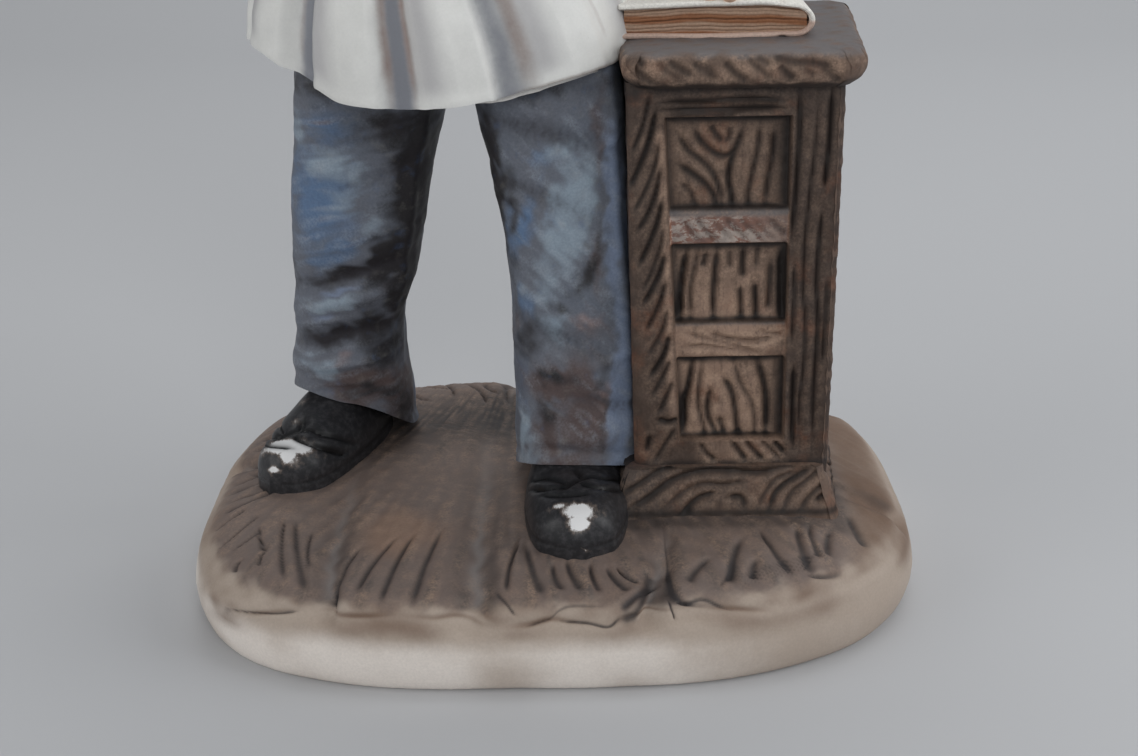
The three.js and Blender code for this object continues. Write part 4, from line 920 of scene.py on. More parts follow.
def wood_colour(tree, vector):
    settings = bpy.context.scene.figurine_cabinet
    wood = mix(tree, mask(tree, "pale"), seen(48, 38, 33), (*settings.wood, 1))
    wood = patches(tree, vector, wood, seen(62, 52, 47), 90.0, 0.42, 0.2, 0.6)
    wood = patches(tree, vector, wood, seen(104, 62, 40), 150.0, 0.36, 0.14, 0.5)
    grain = noise(tree, vector, 1500.0, 3.0, 0.6, stretch=(1, 1, 0.14))
    wood = mix(tree, math_node(tree, "MULTIPLY", between(tree, grain, 0.48, 0.66), 0.4), wood,
        seen(48, 38, 33))
    rail = noise(tree, vector, 650.0, 4.0, 0.7, stretch=(0.5, 1.0, 1.0))
    zone = mask(tree, "white")
    wood = mix(tree, math_node(tree, "MULTIPLY", zone, 1.2), wood, seen(136, 78, 46))
    white = math_node(tree, "MULTIPLY", zone, between(tree, rail, 0.47, 0.57))
    wood = mix(tree, white, wood, WARM_WHITE)
    # Grey along the rails' upper edges, where it is painted shade, and dust on the slab's top
    wood = mix(tree, uneven(tree, vector, mask(tree, "dust"), 600.0, 0.35, 0.1, 0.9), wood, seen(84, 80, 80))
    # Painted shade under the slab, where the body meets the plinth, and on the left-hand sides
    wood = mix(tree, mask(tree, "dark"), wood, seen(28, 25, 25))
    return washed(tree, vector, wood, seen(28, 23, 21), seen(150, 126, 108), grit=0.35)


def cloth_colour(tree, vector):
    settings = bpy.context.scene.figurine_trousers
    blue = patches(tree, vector, (*settings.cloth, 1), seen(84, 90, 100), 60.0, 0.47, 0.3)
    # The dark patches are dark paint with painted shade under the coat, between the legs and in the folds
    for name, shade in (
        ("blue", seen(76, 96, 122)), ("pale", seen(116, 128, 139)), ("warm", seen(76, 65, 64)),
        ("pink", seen(140, 116, 110)), ("ridge_blue", seen(104, 115, 135)), ("dark", seen(33, 31, 33)),
    ):
        blue = mix(tree, uneven(tree, vector, mask(tree, name), 260.0, 0.3, 0.12, 0.85), blue, shade)
    blue = patches(tree, vector, blue, seen(138, 136, 128), 320.0, 0.36, 0.1, 0.14)
    blue = patches(tree, vector, blue, seen(56, 78, 112), 280.0, 0.34, 0.08, 0.25)
    return washed(tree, vector, blue, seen(40, 38, 42), seen(126, 132, 140), grit=0.7)


def leather_colour(tree, vector):
    fine = noise(tree, vector, 900.0, 4.0, 0.7)
    black = mix(tree, between(tree, fine, 0.4, 0.75), seen(32, 32, 34), seen(54, 53, 55))
    # The shine mask is the toe's white paint, and a painted reflection at its tip
    shine = mask(tree, "shine")
    brushed = noise(tree, vector, 520.0, 5.0, 0.75, stretch=(1, 0.25, 1))
    ragged = math_node(tree, "MULTIPLY", math_node(tree, "SUBTRACT", brushed, 0.5), 1.5)
    fringe = between(tree, math_node(tree, "ADD", shine, ragged), 0.2, 0.6)
    glow = between(tree, math_node(tree, "ADD", shine, math_node(tree, "MULTIPLY", ragged, 0.8)), 0.42, 0.66)
    black = mix(tree, math_node(tree, "MULTIPLY", fringe, 0.55), black, seen(122, 108, 98))
    black = mix(tree, glow, black, seen(205, 202, 198))
    return mix(tree, mask(tree, "groove"), black, seen(14, 14, 15))


def coat_colour(tree, vector):
    settings = bpy.context.scene.figurine_coat
    white = patches(tree, vector, (*settings.white, 1), seen(176, 176, 173), 40.0, 0.45, 0.25)
    speck = between(tree, noise(tree, vector, 1500.0, 2.0, 0.5), 0.74, 0.8)
    white = mix(tree, math_node(tree, "MULTIPLY", speck, 0.15), white, seen(120, 110, 104))
    white = mix(tree, mask(tree, "shade"), white, seen(156, 155, 155))
    white = mix(tree, uneven(tree, vector, mask(tree, "hollow"), 200.0, 0.35, 0.1, 0.85), white,
        seen(108, 110, 116))
    white = mix(tree, uneven(tree, vector, mask(tree, "border"), 260.0, 0.45, 0.15, 1.1), white,
        seen(116, 96, 88))
    return washed(tree, vector, white, seen(98, 84, 76), seen(190, 189, 186), ridge=0.0, grit=0.15)


def plain_colour(main, patch, wash_tone, scale=160.0):
    """The colour function of a small plain part: one paint with soft patches, and wash in its grooves."""
    def colour(tree, vector):
        return washed(tree, vector, patches(tree, vector, main, patch, scale, 0.45, 0.2), wash_tone, main,
            ridge=0.0)
    return colour


def layered_colour(main, second, wash_tone):
    """The colour function of the book: two paints in soft layers, with wash between them."""
    def colour(tree, vector):
        painted = mix(tree, uneven(tree, vector, mask(tree, "layer"), 300.0, 0.6, 0.2, 0.8), main, second)
        return washed(tree, vector, painted, wash_tone, main, ridge=0.0)
    return colour


def skin_colour(tree, vector):
    skin = patches(tree, vector, srgb(226, 190, 164), srgb(216, 172, 148), 110.0, 0.4, 0.25)
    for name, shade in (
        ("blush", srgb(206, 138, 116)), ("lip", srgb(176, 96, 86)), ("brow", srgb(92, 72, 60)),
        ("white", srgb(228, 224, 216)), ("iris", srgb(58, 44, 38)),
    ):
        skin = mix(tree, mask(tree, name), skin, shade)
    return washed(tree, vector, skin, srgb(150, 100, 78), srgb(236, 204, 180), ridge=0.0)


# Base

def base_radius(angle):
    """Plan of the base: a superellipse, rounder at the viewer's right-hand front corner."""
    corner = np.arctan2(np.sin(angle + 45 * DEG), np.cos(angle + 45 * DEG))
    n = 3.1 - 0.4 * bump(corner, 35 * DEG)
    across = np.abs(np.cos(angle) / BASE_HALF[0]) ** n
    along = np.abs(np.sin(angle) / BASE_HALF[1]) ** n
    return (across + along) ** (-1 / n)


def joint_lines(x, y):
    """Joints between the flagstones: the deepest of their bells across each joint's line, a narrow bell
    along its middle, and one along its right-hand side, which takes painted shade."""
    depth, core, side = np.zeros(x.shape), np.zeros(x.shape), np.zeros(x.shape)
    for rim, end, width, deepest in STONE_JOINTS:
        run = np.array(end, float) - rim
        reach = np.hypot(*run)
        along = ((x - rim[0]) * run[0] + (y - rim[1]) * run[1]) / reach
        off = ((x - rim[0]) * run[1] - (y - rim[1]) * run[0]) / reach
        inner = 1 - 0.65 * fade(along, 0, reach) - 0.35 * fade(along, reach - 4, reach + 4)
        live = fade(along, -14, -6)
        depth = np.maximum(depth, deepest * inner * bump(off, width) * live)
        core = np.maximum(core, inner * bump(off, 0.45 * width) * live)
        side = np.maximum(side,
            inner * (bump(off - width, 0.7 * width) + 0.5 * bump(off + width, 0.6 * width)) * live)
    return depth, core, side


def tooling(x, y):
    """Tooled strokes on the flagstones: those of the front rim, a comb of seeded ones round the left and
    back rim, and fine parallel scratches. Returns the depth of each kind, 0 to 1."""
    depth = np.zeros(x.shape)
    for x0, y0, x1, y1, width in RIM_STROKES:
        start = (x1 + RIM_REACH * (x0 - x1), y1 + RIM_REACH * (y0 - y1))
        depth = np.maximum(depth, stroke(x, y, start, (x1, y1), 1.2 * width, bow=0.5))
    rng = np.random.default_rng(5)
    angle = COMB[0] * DEG
    while angle < COMB[1] * DEG:
        rim = float(base_radius(np.array(angle)))
        lean = rng.uniform(-0.12, 0.12)
        outer, inner = rim - rng.uniform(4.5, 8), rim - rng.uniform(14, 24)
        start = (inner * math.cos(angle + lean), inner * math.sin(angle + lean))
        end = (outer * math.cos(angle), outer * math.sin(angle))
        depth = np.maximum(depth, stroke(x, y, start, end, rng.uniform(0.5, 0.9), bow=rng.uniform(-1, 1)))
        angle += rng.uniform(3.4, 6.6) / rim
    fine = np.zeros(x.shape)
    (fx, fy), (sx, sy), (rx, ry) = SCRATCHES["first"], SCRATCHES["step"], SCRATCHES["run"]
    for k in range(SCRATCHES["count"]):
        start = (fx + sx * k, fy + sy * k)
        fine = np.maximum(fine, stroke(x, y, start, (start[0] + rx, start[1] + ry), 0.2))
    return depth, fine


def make_base():
    """Base: the side profile carried round the plan, then the top closed to its middle. Joints, strokes and
    unevenness move each point in along the profile's normal."""
    settings = bpy.context.scene.figurine_base
    # Columns stand closer at the front than behind
    around = np.linspace(-math.pi, math.pi, settings.around, endpoint=False)
    angle = -90 * DEG + around - 0.38 * np.sin(around)
    full = base_radius(angle)[None, :]
    side = np.concatenate([np.linspace(0, 2.7, 9)[:-1],
        np.linspace(2.7, BASE_PROFILE[-1][0], settings.side_rows)])
    inset, height = follow(BASE_PROFILE, side)
    close = settings.top_rows * 2 // 3
    inner = np.concatenate([np.linspace(0, 0.42, close + 1)[1:],
        np.linspace(0.42, 1, settings.top_rows - close + 1)[1:-1]])
    rim_inset, rim_height = BASE_PROFILE[-1][1:]
    radius = np.vstack([full - inset[:, None], (full - rim_inset) * (1 - inner[:, None])])
    z = np.concatenate([height, rim_height + (BASE_TOP - rim_height) * (1 - (1 - inner) ** 2.4)])[:, None]
    z = np.broadcast_to(z, radius.shape)
    x, y = radius * np.cos(angle), radius * np.sin(angle)
    spot = np.stack([x, y, z], -1)
    slope_r, slope_z = np.gradient(radius, axis=0), np.gradient(z, axis=0)
    size = np.hypot(slope_r, slope_z)
    out_r, out_z = slope_z / size, -slope_r / size

    pit, channel, flank = joint_lines(x + 0.35 * ripple(spot, 7, 3), y)
    wall = fade(z, 10, 12) * (1 - fade(z, 15, 17))
    top = fade(z, 12.6, 15.5)
    cut, fine = tooling(x, y)
    cut = cut * fade(z, 12.8, 14.4)
    broad, small, tiny = ripple(spot, 22, 7), ripple(spot, 4.5, 8), ripple(spot, 1.6, 9)
    # The lip over the front wall: the stones bulge above it, and cracks run along it
    front = fade(y, -20, -34)
    ledge = follow(LEDGE, np.clip(x, -62, 36))[0] + 0.2 * np.sin(19 * angle + 2)
    at_front = front * fade(x, 40, 30)
    crease = bump(z - ledge, 0.32) * (0.55 + 0.45 * np.sin(0.4 * x + 2)) * at_front * fade(x, -58, -50)
    bulge = bump(z - ledge - 1.5, 1.1) * at_front * (1 - np.clip(pit, 0, 1))
    crack, _ = carve(x, z, LEDGE_CRACKS, 0.22)
    branch, branch_side = carve(x, z, LEDGE_BRANCH, 0.75)
    crack, branch, branch_side = crack * front, branch * front * (y < -40), branch_side * front * (y < -40)
    # Streaks of the tool fan out from behind the figure
    fan = np.arctan2(x + 8, 70 - y) / DEG
    streak = ripple(np.stack([fan * 0.9, np.hypot(x + 8, 70 - y) * 0.07], -1), 1.7, 11)
    relief = 0.28 * broad * top + 0.06 * small * top + 0.1 * broad * (1 - top) + 0.02 * tiny
    relief = relief - 0.75 * cut - 0.2 * fine * fade(z, 12.5, 14) + 0.1 * streak * fade(z, 14, 16)
    relief = relief + 0.55 * bulge - 0.35 * crease - 0.35 * crack - 0.6 * branch
    radius = radius - pit * wall + relief * out_r * (1 - bump(radius, 6))
    z = z - pit * top * 0.8 + relief * out_z * fade(radius, 0, 5)
    points = np.stack([radius * np.cos(angle), radius * np.sin(angle), z], -1)

    height, right = spot[..., 2], fade(x, 48, 56) * fade(y, 44, 30)
    level = height + 0.35 * small + 0.12 * tiny + 0.5 * cut + 0.35 * pit
    brown = fade(level, 13 - fade(x, -25, -50), 15.5) * (1 - 0.85 * right)
    face = fade(height, ledge - 0.4, ledge + 1.2) * (0.75 + 0.3 * small) * front
    haze = 0.3 * bump(height - ledge + 1.4, 1.6) * (0.8 + 0.6 * broad)
    haze = haze + 0.22 * np.clip(broad, 0, 1) * fade(height, 3, 9)
    behind = fade(y, 0, 20) * fade(np.hypot((x + 8) / 46, (y - 8) / 36), 1.0, 0.5) * top
    middle = bump(y + 12, 14) * fade(x, 4, -8)
    beyond = np.maximum.reduce([11 - x, x - 50.5, -25.2 - y, y - PLINTH["back"]])
    foot_of_cabinet = bump(beyond.clip(0, None), 1.8) * fade(x, 8, 12) * top
    # Brown stain on the stones' front faces, the wall, the right-hand side and the back, with painted shade
    # in the ledge's crease and just under it
    stain = 0.42 * face + 0.5 * crease + haze + 0.4 * right * top + 0.35 * (1 - front) * fade(height, 9, 15)
    masks = {
        "top": brown, "stain": stain,
        "foot": fade(height, 12, 7) * (0.7 + 0.25 * broad) * (1 - 0.75 * fade(x, 12, 40)),
        "groove": 0.7 * cut + 0.4 * fine + 0.75 * crack + 0.65 * branch + 0.2 * branch_side,
        "ridge": (0.25 + 0.3 * streak + 0.15 * small).clip(0, 1) * brown,
        "channel": 0.8 * channel * fade(height, 13, 15),
        "streak": (0.5 + 0.4 * streak) * (1 - 0.75 * middle),
        # Painted shade round the cabinet's foot and along one side of each joint, and dark paint with painted
        # shade behind the figure
        "dark": 0.85 * behind + 0.6 * foot_of_cabinet + 0.5 * flank * fade(height, 12.6, 14.6),
        "glow": bump(x + 27, 9) * bump(y + 26, 9) + 0.4 * np.clip(broad, 0, 1) * top,
    }
    masks = {key: np.clip(value, 0, 1) for key, value in masks.items()}
    return shell(points, masks, ends=((0, 0, 0), (0, 0, BASE_TOP)))


# Cabinet

def perimeter(left, right, front, back, columns):
    """The four sides of a rectangle walked anticlockwise from its front left corner: x, y, outward x,
    outward y and the distance to the nearest corner, from the places of the columns along each side."""
    x, y, nx, ny, near = [], [], [], [], []
    for (x0, y0), (x1, y1), places in zip(
        ((left, front), (right, front), (right, back), (left, back)),
        ((right, front), (right, back), (left, back), (left, front)), columns,
    ):
        length = math.hypot(x1 - x0, y1 - y0)
        t = np.asarray(places) / length
        x.append(x0 + (x1 - x0) * t)
        y.append(y0 + (y1 - y0) * t)
        nx.append(np.full(len(t), (y1 - y0) / length))
        ny.append(np.full(len(t), -(x1 - x0) / length))
        near.append(np.minimum(t, 1 - t) * length)
    return [np.concatenate(values) for values in (x, y, nx, ny, near)]


def soft_corner(near, radius):
    """How far a side draws in near its corners, so that they are round."""
    gone = np.clip(radius - near, 0, radius)
    return radius - np.sqrt(radius ** 2 - gone ** 2 * 0.9)


def open_side(length, step):
    """Places along a side, without its last corner."""
    count = max(2, int(round(length / step)))
    return np.arange(count) * length / count


def stepped(length, step, edges):
    """Places along a line with closer ones across each edge, where the surface steps down."""
    close = EDGE_WIDTH * 2.2
    places, start = [], 0.0
    for edge in edges:
        places += [np.arange(start, edge - close, step), np.linspace(edge - close, edge + close, 9)[:-1]]
        start = edge + close
    return np.concatenate([*places, np.arange(start, length - 0.2 * step, step)])


def flared(points):
    """The cabinet's points with its right side run outwards to the back."""
    share = np.clip((points[..., 0] - SLAB["left"]) / (SLAB["right"] - SLAB["left"]), 0, 1)
    shift = CABINET_FLARE * (points[..., 1] - SLAB["front"]) * share
    return points + shift[..., None] * np.array([1, 0, 0])


def ringed(core, wide):
    """The raised, wiped rim on both sides of a groove."""
    return 4 * wide * (1 - wide) * (1 - core)


def recess_sides(z):
    share = (z - RECESS["foot"]) / (RECESS["top"] - RECESS["foot"])
    return (blend(RECESS["foot_left"], RECESS["top_left"], share),
        blend(RECESS["foot_right"], RECESS["top_right"], share))


def edge_step(distance):
    return fade(distance, -EDGE_WIDTH, EDGE_WIDTH)


def make_cabinet_body(step):
    """Body: rows of a rectangle from the foot to the top. The front's columns follow the leaning recess,
    which is sunk to its depth less its rails, and the sides have plain panels. Grooves and unevenness move
    each point in."""
    left, right, front, back = CABINET["left_foot"], CABINET["right"], CABINET["front"], CABINET["back"]
    edges = (RECESS["foot_left"], RECESS["foot_right"])
    width, depth = right - left, back - front
    columns = [
        stepped(width, step, (edges[0] - left, edges[1] - left)),
        stepped(depth, step * 1.5, (SIDE_RECESS["front"] - front, SIDE_RECESS["back"] - front)),
        open_side(width, step * 2.4), open_side(depth, step * 2.4),
    ]
    x, y, nx, ny, corner = (v[None, :] for v in perimeter(left, right, front, back, columns))
    breaks = [v - CABINET["foot"] for v in (RECESS["foot"], *RAILS[0], *RAILS[1], RECESS["top"])]
    z = stepped(CABINET["top"] - CABINET["foot"], step, breaks)[:, None] + CABINET["foot"]
    lean = (CABINET["left_top"] - left) * (z - CABINET["foot"]) / (CABINET["top"] - CABINET["foot"])
    recess_left, recess_right = recess_sides(z)
    place = np.clip((x - left) / (edges[0] - left), 0, 1)
    middle = np.clip((x - edges[0]) / (edges[1] - edges[0]), 0, 1)
    end = np.clip((x - edges[1]) / (right - edges[1]), 0, 1)
    shift = np.where(
        x < edges[0], blend(lean, recess_left - edges[0], place),
        blend(recess_left - edges[0], recess_right - edges[1], middle),
    )
    shift = np.where(x > edges[1], blend(recess_right - edges[1], 0 * lean, end), shift)
    x = x + np.where(ny < -0.5, shift, lean * (right - x) / width)
    x, y, z, nx, ny, corner = np.broadcast_arrays(x, y, z, nx, ny, corner)
    rough = ripple(np.stack([x, y, z], -1), 3.5, 21)
    is_front, is_side = ny < -0.5, nx > 0.5

    # The front's recess and rails
    recess_left, recess_right = recess_sides(z)
    within = edge_step(np.minimum.reduce(
        [x - recess_left, recess_right - x, z - RECESS["foot"], RECESS["top"] - z]))
    rail, crown = np.zeros(x.shape), np.zeros(x.shape)
    for low, high in RAILS:
        rail = np.maximum(rail, edge_step(np.minimum(z - low, high - z)))
        crown = np.maximum(crown,
            np.sqrt(np.clip(1 - ((z - (low + high) / 2) / ((high - low) / 2 + 0.1)) ** 2, 0, 1)))
    height = (RECESS_DEPTH - RAIL_STEP) * rail * (0.45 + 0.65 * crown)
    front_core, front_wide = carve(x, z, PANEL_GROOVES, GROOVE_WIDTH["panel"])
    frame_core, frame_wide = carve(x, z, FRAME_GROOVES, GROOVE_WIDTH["frame"])
    rail_core, rail_wide = carve(x, z, RAIL_GROOVES, GROOVE_WIDTH["rail"])
    panel = within * (1 - rail)
    core = panel * front_core + (1 - within) * frame_core + within * rail * rail_core
    wide = panel * front_wide + (1 - within) * frame_wide + within * rail * rail_wide
    bead = bump(x - recess_left + 1.0, 0.7) * (1 - within) * fade(z, 33, 36) * (1 - fade(z, 84, 86))

    # The plain side and the back
    s = SIDE_RECESS
    panel_side = edge_step(np.minimum.reduce([y - s["front"], s["back"] - y, z - s["foot"], s["top"] - z]))
    bar = edge_step(np.minimum(z - s["rail"][0], s["rail"][1] - z))
    run = np.where(is_side, y, x)
    upright = run + 0.6 * np.sin(z * 0.17) + 0.35 * np.sin(z * 0.6 + run * 0.4)
    plain = np.where(
        is_side & ((panel_side < 0.5) | (bar > 0.5)),
        lines(run * 0.5 + z * 0.85 + 0.5 * np.sin(run * 0.3), 2.0, 0.4, 1.0),
        lines(upright, 2.3, 0.42, 2.0),
    ) * fade(corner, 0.5, 3.5)
    core, wide = np.where(is_front, core, plain), np.where(is_front, wide, plain)
    sunk = np.where(is_front, within * (RECESS_DEPTH - height),
        np.where(is_side, s["depth"] * panel_side * (1 - 0.9 * bar), 0))
    ring = ringed(core, wide)
    inward = soft_corner(corner, 1.4) + sunk + 0.55 * core + 0.35 * wide - 0.12 * ring + 0.08 * rough
    inward = inward - 0.25 * bead * is_front
    points = flared(np.stack([x - nx * inward, y - ny * inward, z], -1))

    # Shadowed corners of the recess, and the paint's tone from dark to pale
    from_left, from_right = np.clip(x - recess_left, 0, None), np.clip(recess_right - x, 0, None)
    shaded = within * (1 - rail) * np.maximum(0.7 * bump(from_left, 1.0), bump(from_right, 2.0))
    for high in (RECESS["top"], RAILS[0][0], RAILS[1][0]):
        shaded = np.maximum(shaded, 0.9 * within * bump(z - high + 0.3, 1.0) * (1 - rail))
    for low in (RECESS["foot"], RAILS[0][1], RAILS[1][1]):
        shaded = np.maximum(shaded, 0.8 * within * bump(z - low - 0.1, 0.6))
    tone = 0.08 - 0.06 * fade(x, 38, 41)
    tone = blend(tone, 0.36 + 0.62 * fade(z, 68, 50), within)
    tone = np.where(within * rail > 0.5, np.where(z > 60, 0.8, 0.95) - 0.3 * fade(x, 36, 39), tone)
    tone = tone + 0.7 * bead - 0.1 * fade(z, 86, 91)
    tone = tone + 0.5 * fade(z, 31, 30) * fade(z, 25, 27) * fade(x, 24, 27) * fade(x, 41, 39)
    tone = np.where(is_front, tone, 0.25)
    white = within * rail * fade(z, 63, 65) * fade(z, 71.6, 70) * is_front * (1 - 0.7 * fade(x, 33, 38))
    masks = {
        # The groove mask holds the carving's wash and the painted shade in the recess's corners
        "groove": np.clip((0.4 * core + 0.4 * wide) * (1 - 0.5 * within * rail) + 0.85 * shaded * is_front,
            0, 1),
        "ridge": np.clip((0.2 + 0.8 * ring + 0.15 * rough) * np.where(is_front, 0.25 + 0.8 * tone, 0.3)
            * (1 - 0.9 * white), 0, 1),
        "pale": np.clip(tone, 0, 1), "white": white,
        # Painted shade just under the slab, where the body meets the plinth, and on the left-hand side
        "dark": np.clip(
            0.7 * bump(z - SLAB["foot"], 1.8) + 0.8 * bump(z - PLINTH["top"], 0.7) + 0.7 * (nx < -0.5),
            0, 1),
        # Painted grey shade along each rail's upper edge
        "dust": sum(
            amount * within * rail * fade(z, low, high) * is_front for low, high, amount in RAIL_TOP_SHADE),
    }
    return shell(points, masks)


def make_plinth(step):
    """Plinth: a block whose sides lean in and whose lower edge runs out over the stone, with swirling
    grain."""
    left, right, front, back = PLINTH["left"], PLINTH["right"], PLINTH["front"], PLINTH["back"]
    columns = [open_side(length, step * k) for length, k in ((right - left, 1), (back - front, 1.3)) * 2]
    x, y, nx, ny, corner = (v[None, :] for v in perimeter(left, right, front, back, columns))
    foot, top = PLINTH["foot"], PLINTH["top"]
    inner = np.array([0.3, 0.8, 1.6, 3.0, 6.0])
    rise = np.arange(foot, top - 0.4, step)
    z = np.concatenate([rise, top - np.array([0.35, 0.1, 0.0, 0.0, 0.0])])[:, None]
    draw = np.concatenate([np.zeros(len(rise)), inner])[:, None]
    share = (z - foot) / (top - foot)
    inward = PLINTH["batter"] * (2 * share - 1) + draw
    mid_x, mid_y = (left + right) / 2, (front + back) / 2
    x = mid_x + (x - mid_x) * (1 - inward / ((right - left) / 2))
    y = mid_y + (y - mid_y) * (1 - inward / ((back - front) / 2))
    x, y, nx, ny, corner, z, draw = np.broadcast_arrays(x, y, nx, ny, corner, z, draw)
    rough = ripple(np.stack([x, y, z], -1), 3.5, 31)
    core, wide = carve(x, z, PLINTH_GROOVES, 0.5)
    run = np.where(np.abs(ny) > 0.5, x, y)
    plain = lines(0.42 * run + 1.25 * z + 2.2 * np.sin(run * 0.17 + 0.6)
        + 0.6 * np.sin(run * 0.45 + z * 0.5), 2.6, 0.6, 1.7)
    is_front, flat = ny < -0.5, draw < 0.5
    plain = plain * fade(corner, 0.5, 3.5)
    core, wide = np.where(is_front, core, plain) * flat, np.where(is_front, wide, plain) * flat
    ring = ringed(core, wide)
    cut = (soft_corner(corner, 2.2) * (draw < 2.5)
        + 0.5 * core + 0.35 * wide - 0.12 * ring + 0.09 * rough * flat)
    points = flared(np.stack([x - nx * cut, y - ny * cut, z], -1))
    foot_line = bump(z - 17.7, 0.8)
    masks = {
        # Wash in the grooves, and painted shade where the plinth meets the base and under the cabinet's body
        "groove": np.clip(
            0.4 * core + 0.35 * wide + 0.65 * foot_line + 0.5 * bump(z - top, 0.5) * flat, 0, 1),
        "ridge": np.clip((0.05 + 0.4 * ring + 0.12 * rough) * flat, 0, 1),
        "pale": 0.2 + 0.2 * fade(x, 30, 48) - 0.1 * fade(x, 26, 14), "white": 0.0,
        # Painted shade on the plinth's left-hand side, and darker towards its left end
        "dark": 0.25 * fade(x, 24, 12) + 0.75 * (nx < -0.5), "dust": 0.35 * fade(x, 28, 12) * (ny < -0.5),
    }
    return shell(points, masks)


def make_slab(step):
    """Slab: a rectangle with round corners and a full edge, cut with slanting nicks all round."""
    left, right, front, back = SLAB["left"], SLAB["right"], SLAB["front"], SLAB["back"]
    columns = [open_side(right - left, step), open_side(back - front, step)] * 2
    x, y, nx, ny, corner = (v[None, :] for v in perimeter(left, right, front, back, columns))
    inset, rise = follow(SLAB_EDGE, np.linspace(0, SLAB_EDGE[-1][0], 40))
    inner = np.linspace(0, 1, 30)[1:-1, None]
    half_x, half_y = (right - left) / 2, (back - front) / 2
    mid_x, mid_y = (left + right) / 2, (front + back) / 2
    shrink_x, shrink_y = (np.vstack([1 - inset[:, None] / h, (1 - inset[-1] / h) * (1 - inner)])
        for h in (half_x, half_y))
    z = np.concatenate([rise, np.full(len(inner), rise[-1])])[:, None] + SLAB["foot"]
    cut = soft_corner(corner, 4.2)
    x, y = mid_x + (x - nx * cut - mid_x) * shrink_x, mid_y + (y - ny * cut - mid_y) * shrink_y
    x, y, z, nx, ny = np.broadcast_arrays(x, y, z, nx, ny)
    on_edge = fade(z, SLAB["foot"] + 0.3, SLAB["foot"] + 1.2) * (1 - fade(z, 97.6, 98.4))
    rough = ripple(np.stack([x, y, z], -1), 3.5, 41)
    run = np.where(np.abs(ny) > 0.5, -x, y)
    core, wide = carve(x, z, SLAB_NICKS, 0.6)
    plain = lines(run * 0.72 - z * 0.9 + 0.6 * np.sin(run * 0.3), 2.8, 0.6, 0.9)
    core, wide = (np.where(ny < -0.5, given, plain) * on_edge for given in (core, wide))
    ring = ringed(core, wide)
    deep = 0.35 * core + 0.35 * wide - 0.12 * ring + 0.14 * rough * on_edge
    points = flared(np.stack([x - nx * deep, y - ny * deep, z - 0.06 * rough], -1))
    masks = {
        "groove": np.clip(0.25 * core + 0.35 * wide, 0, 1),
        "ridge": np.clip((0.15 + 0.5 * ring + 0.25 * rough) * on_edge, 0, 1),
        "pale": 0.42 + 0.5 * bump(z - 95.0, 1.6) * bump(x - 29.5, 6) * (ny < -0.5), "white": 0.0,
        # Painted shade along the slab's lower edge, and darker towards its left end
        "dark": np.clip(0.8 * fade(z, 94.6, 92.8) + 0.35 * fade(x, 20, 12) * (1 - fade(z, 97, 98.4)), 0, 1),
        "dust": fade(z, 96.6, 98.2) * (0.75 + 0.25 * rough),
    }
    return shell(points, masks)


# Book

def sag(x, z, half, radius):
    """Height in the book where its upper board sags at the open end and towards the spine."""
    drop = 0.7 * fade(x, 0, -half) + 1.0 * fade(x, half - 10, half)
    return z - drop * np.clip((z + radius) / (2 * radius), 0, 1)


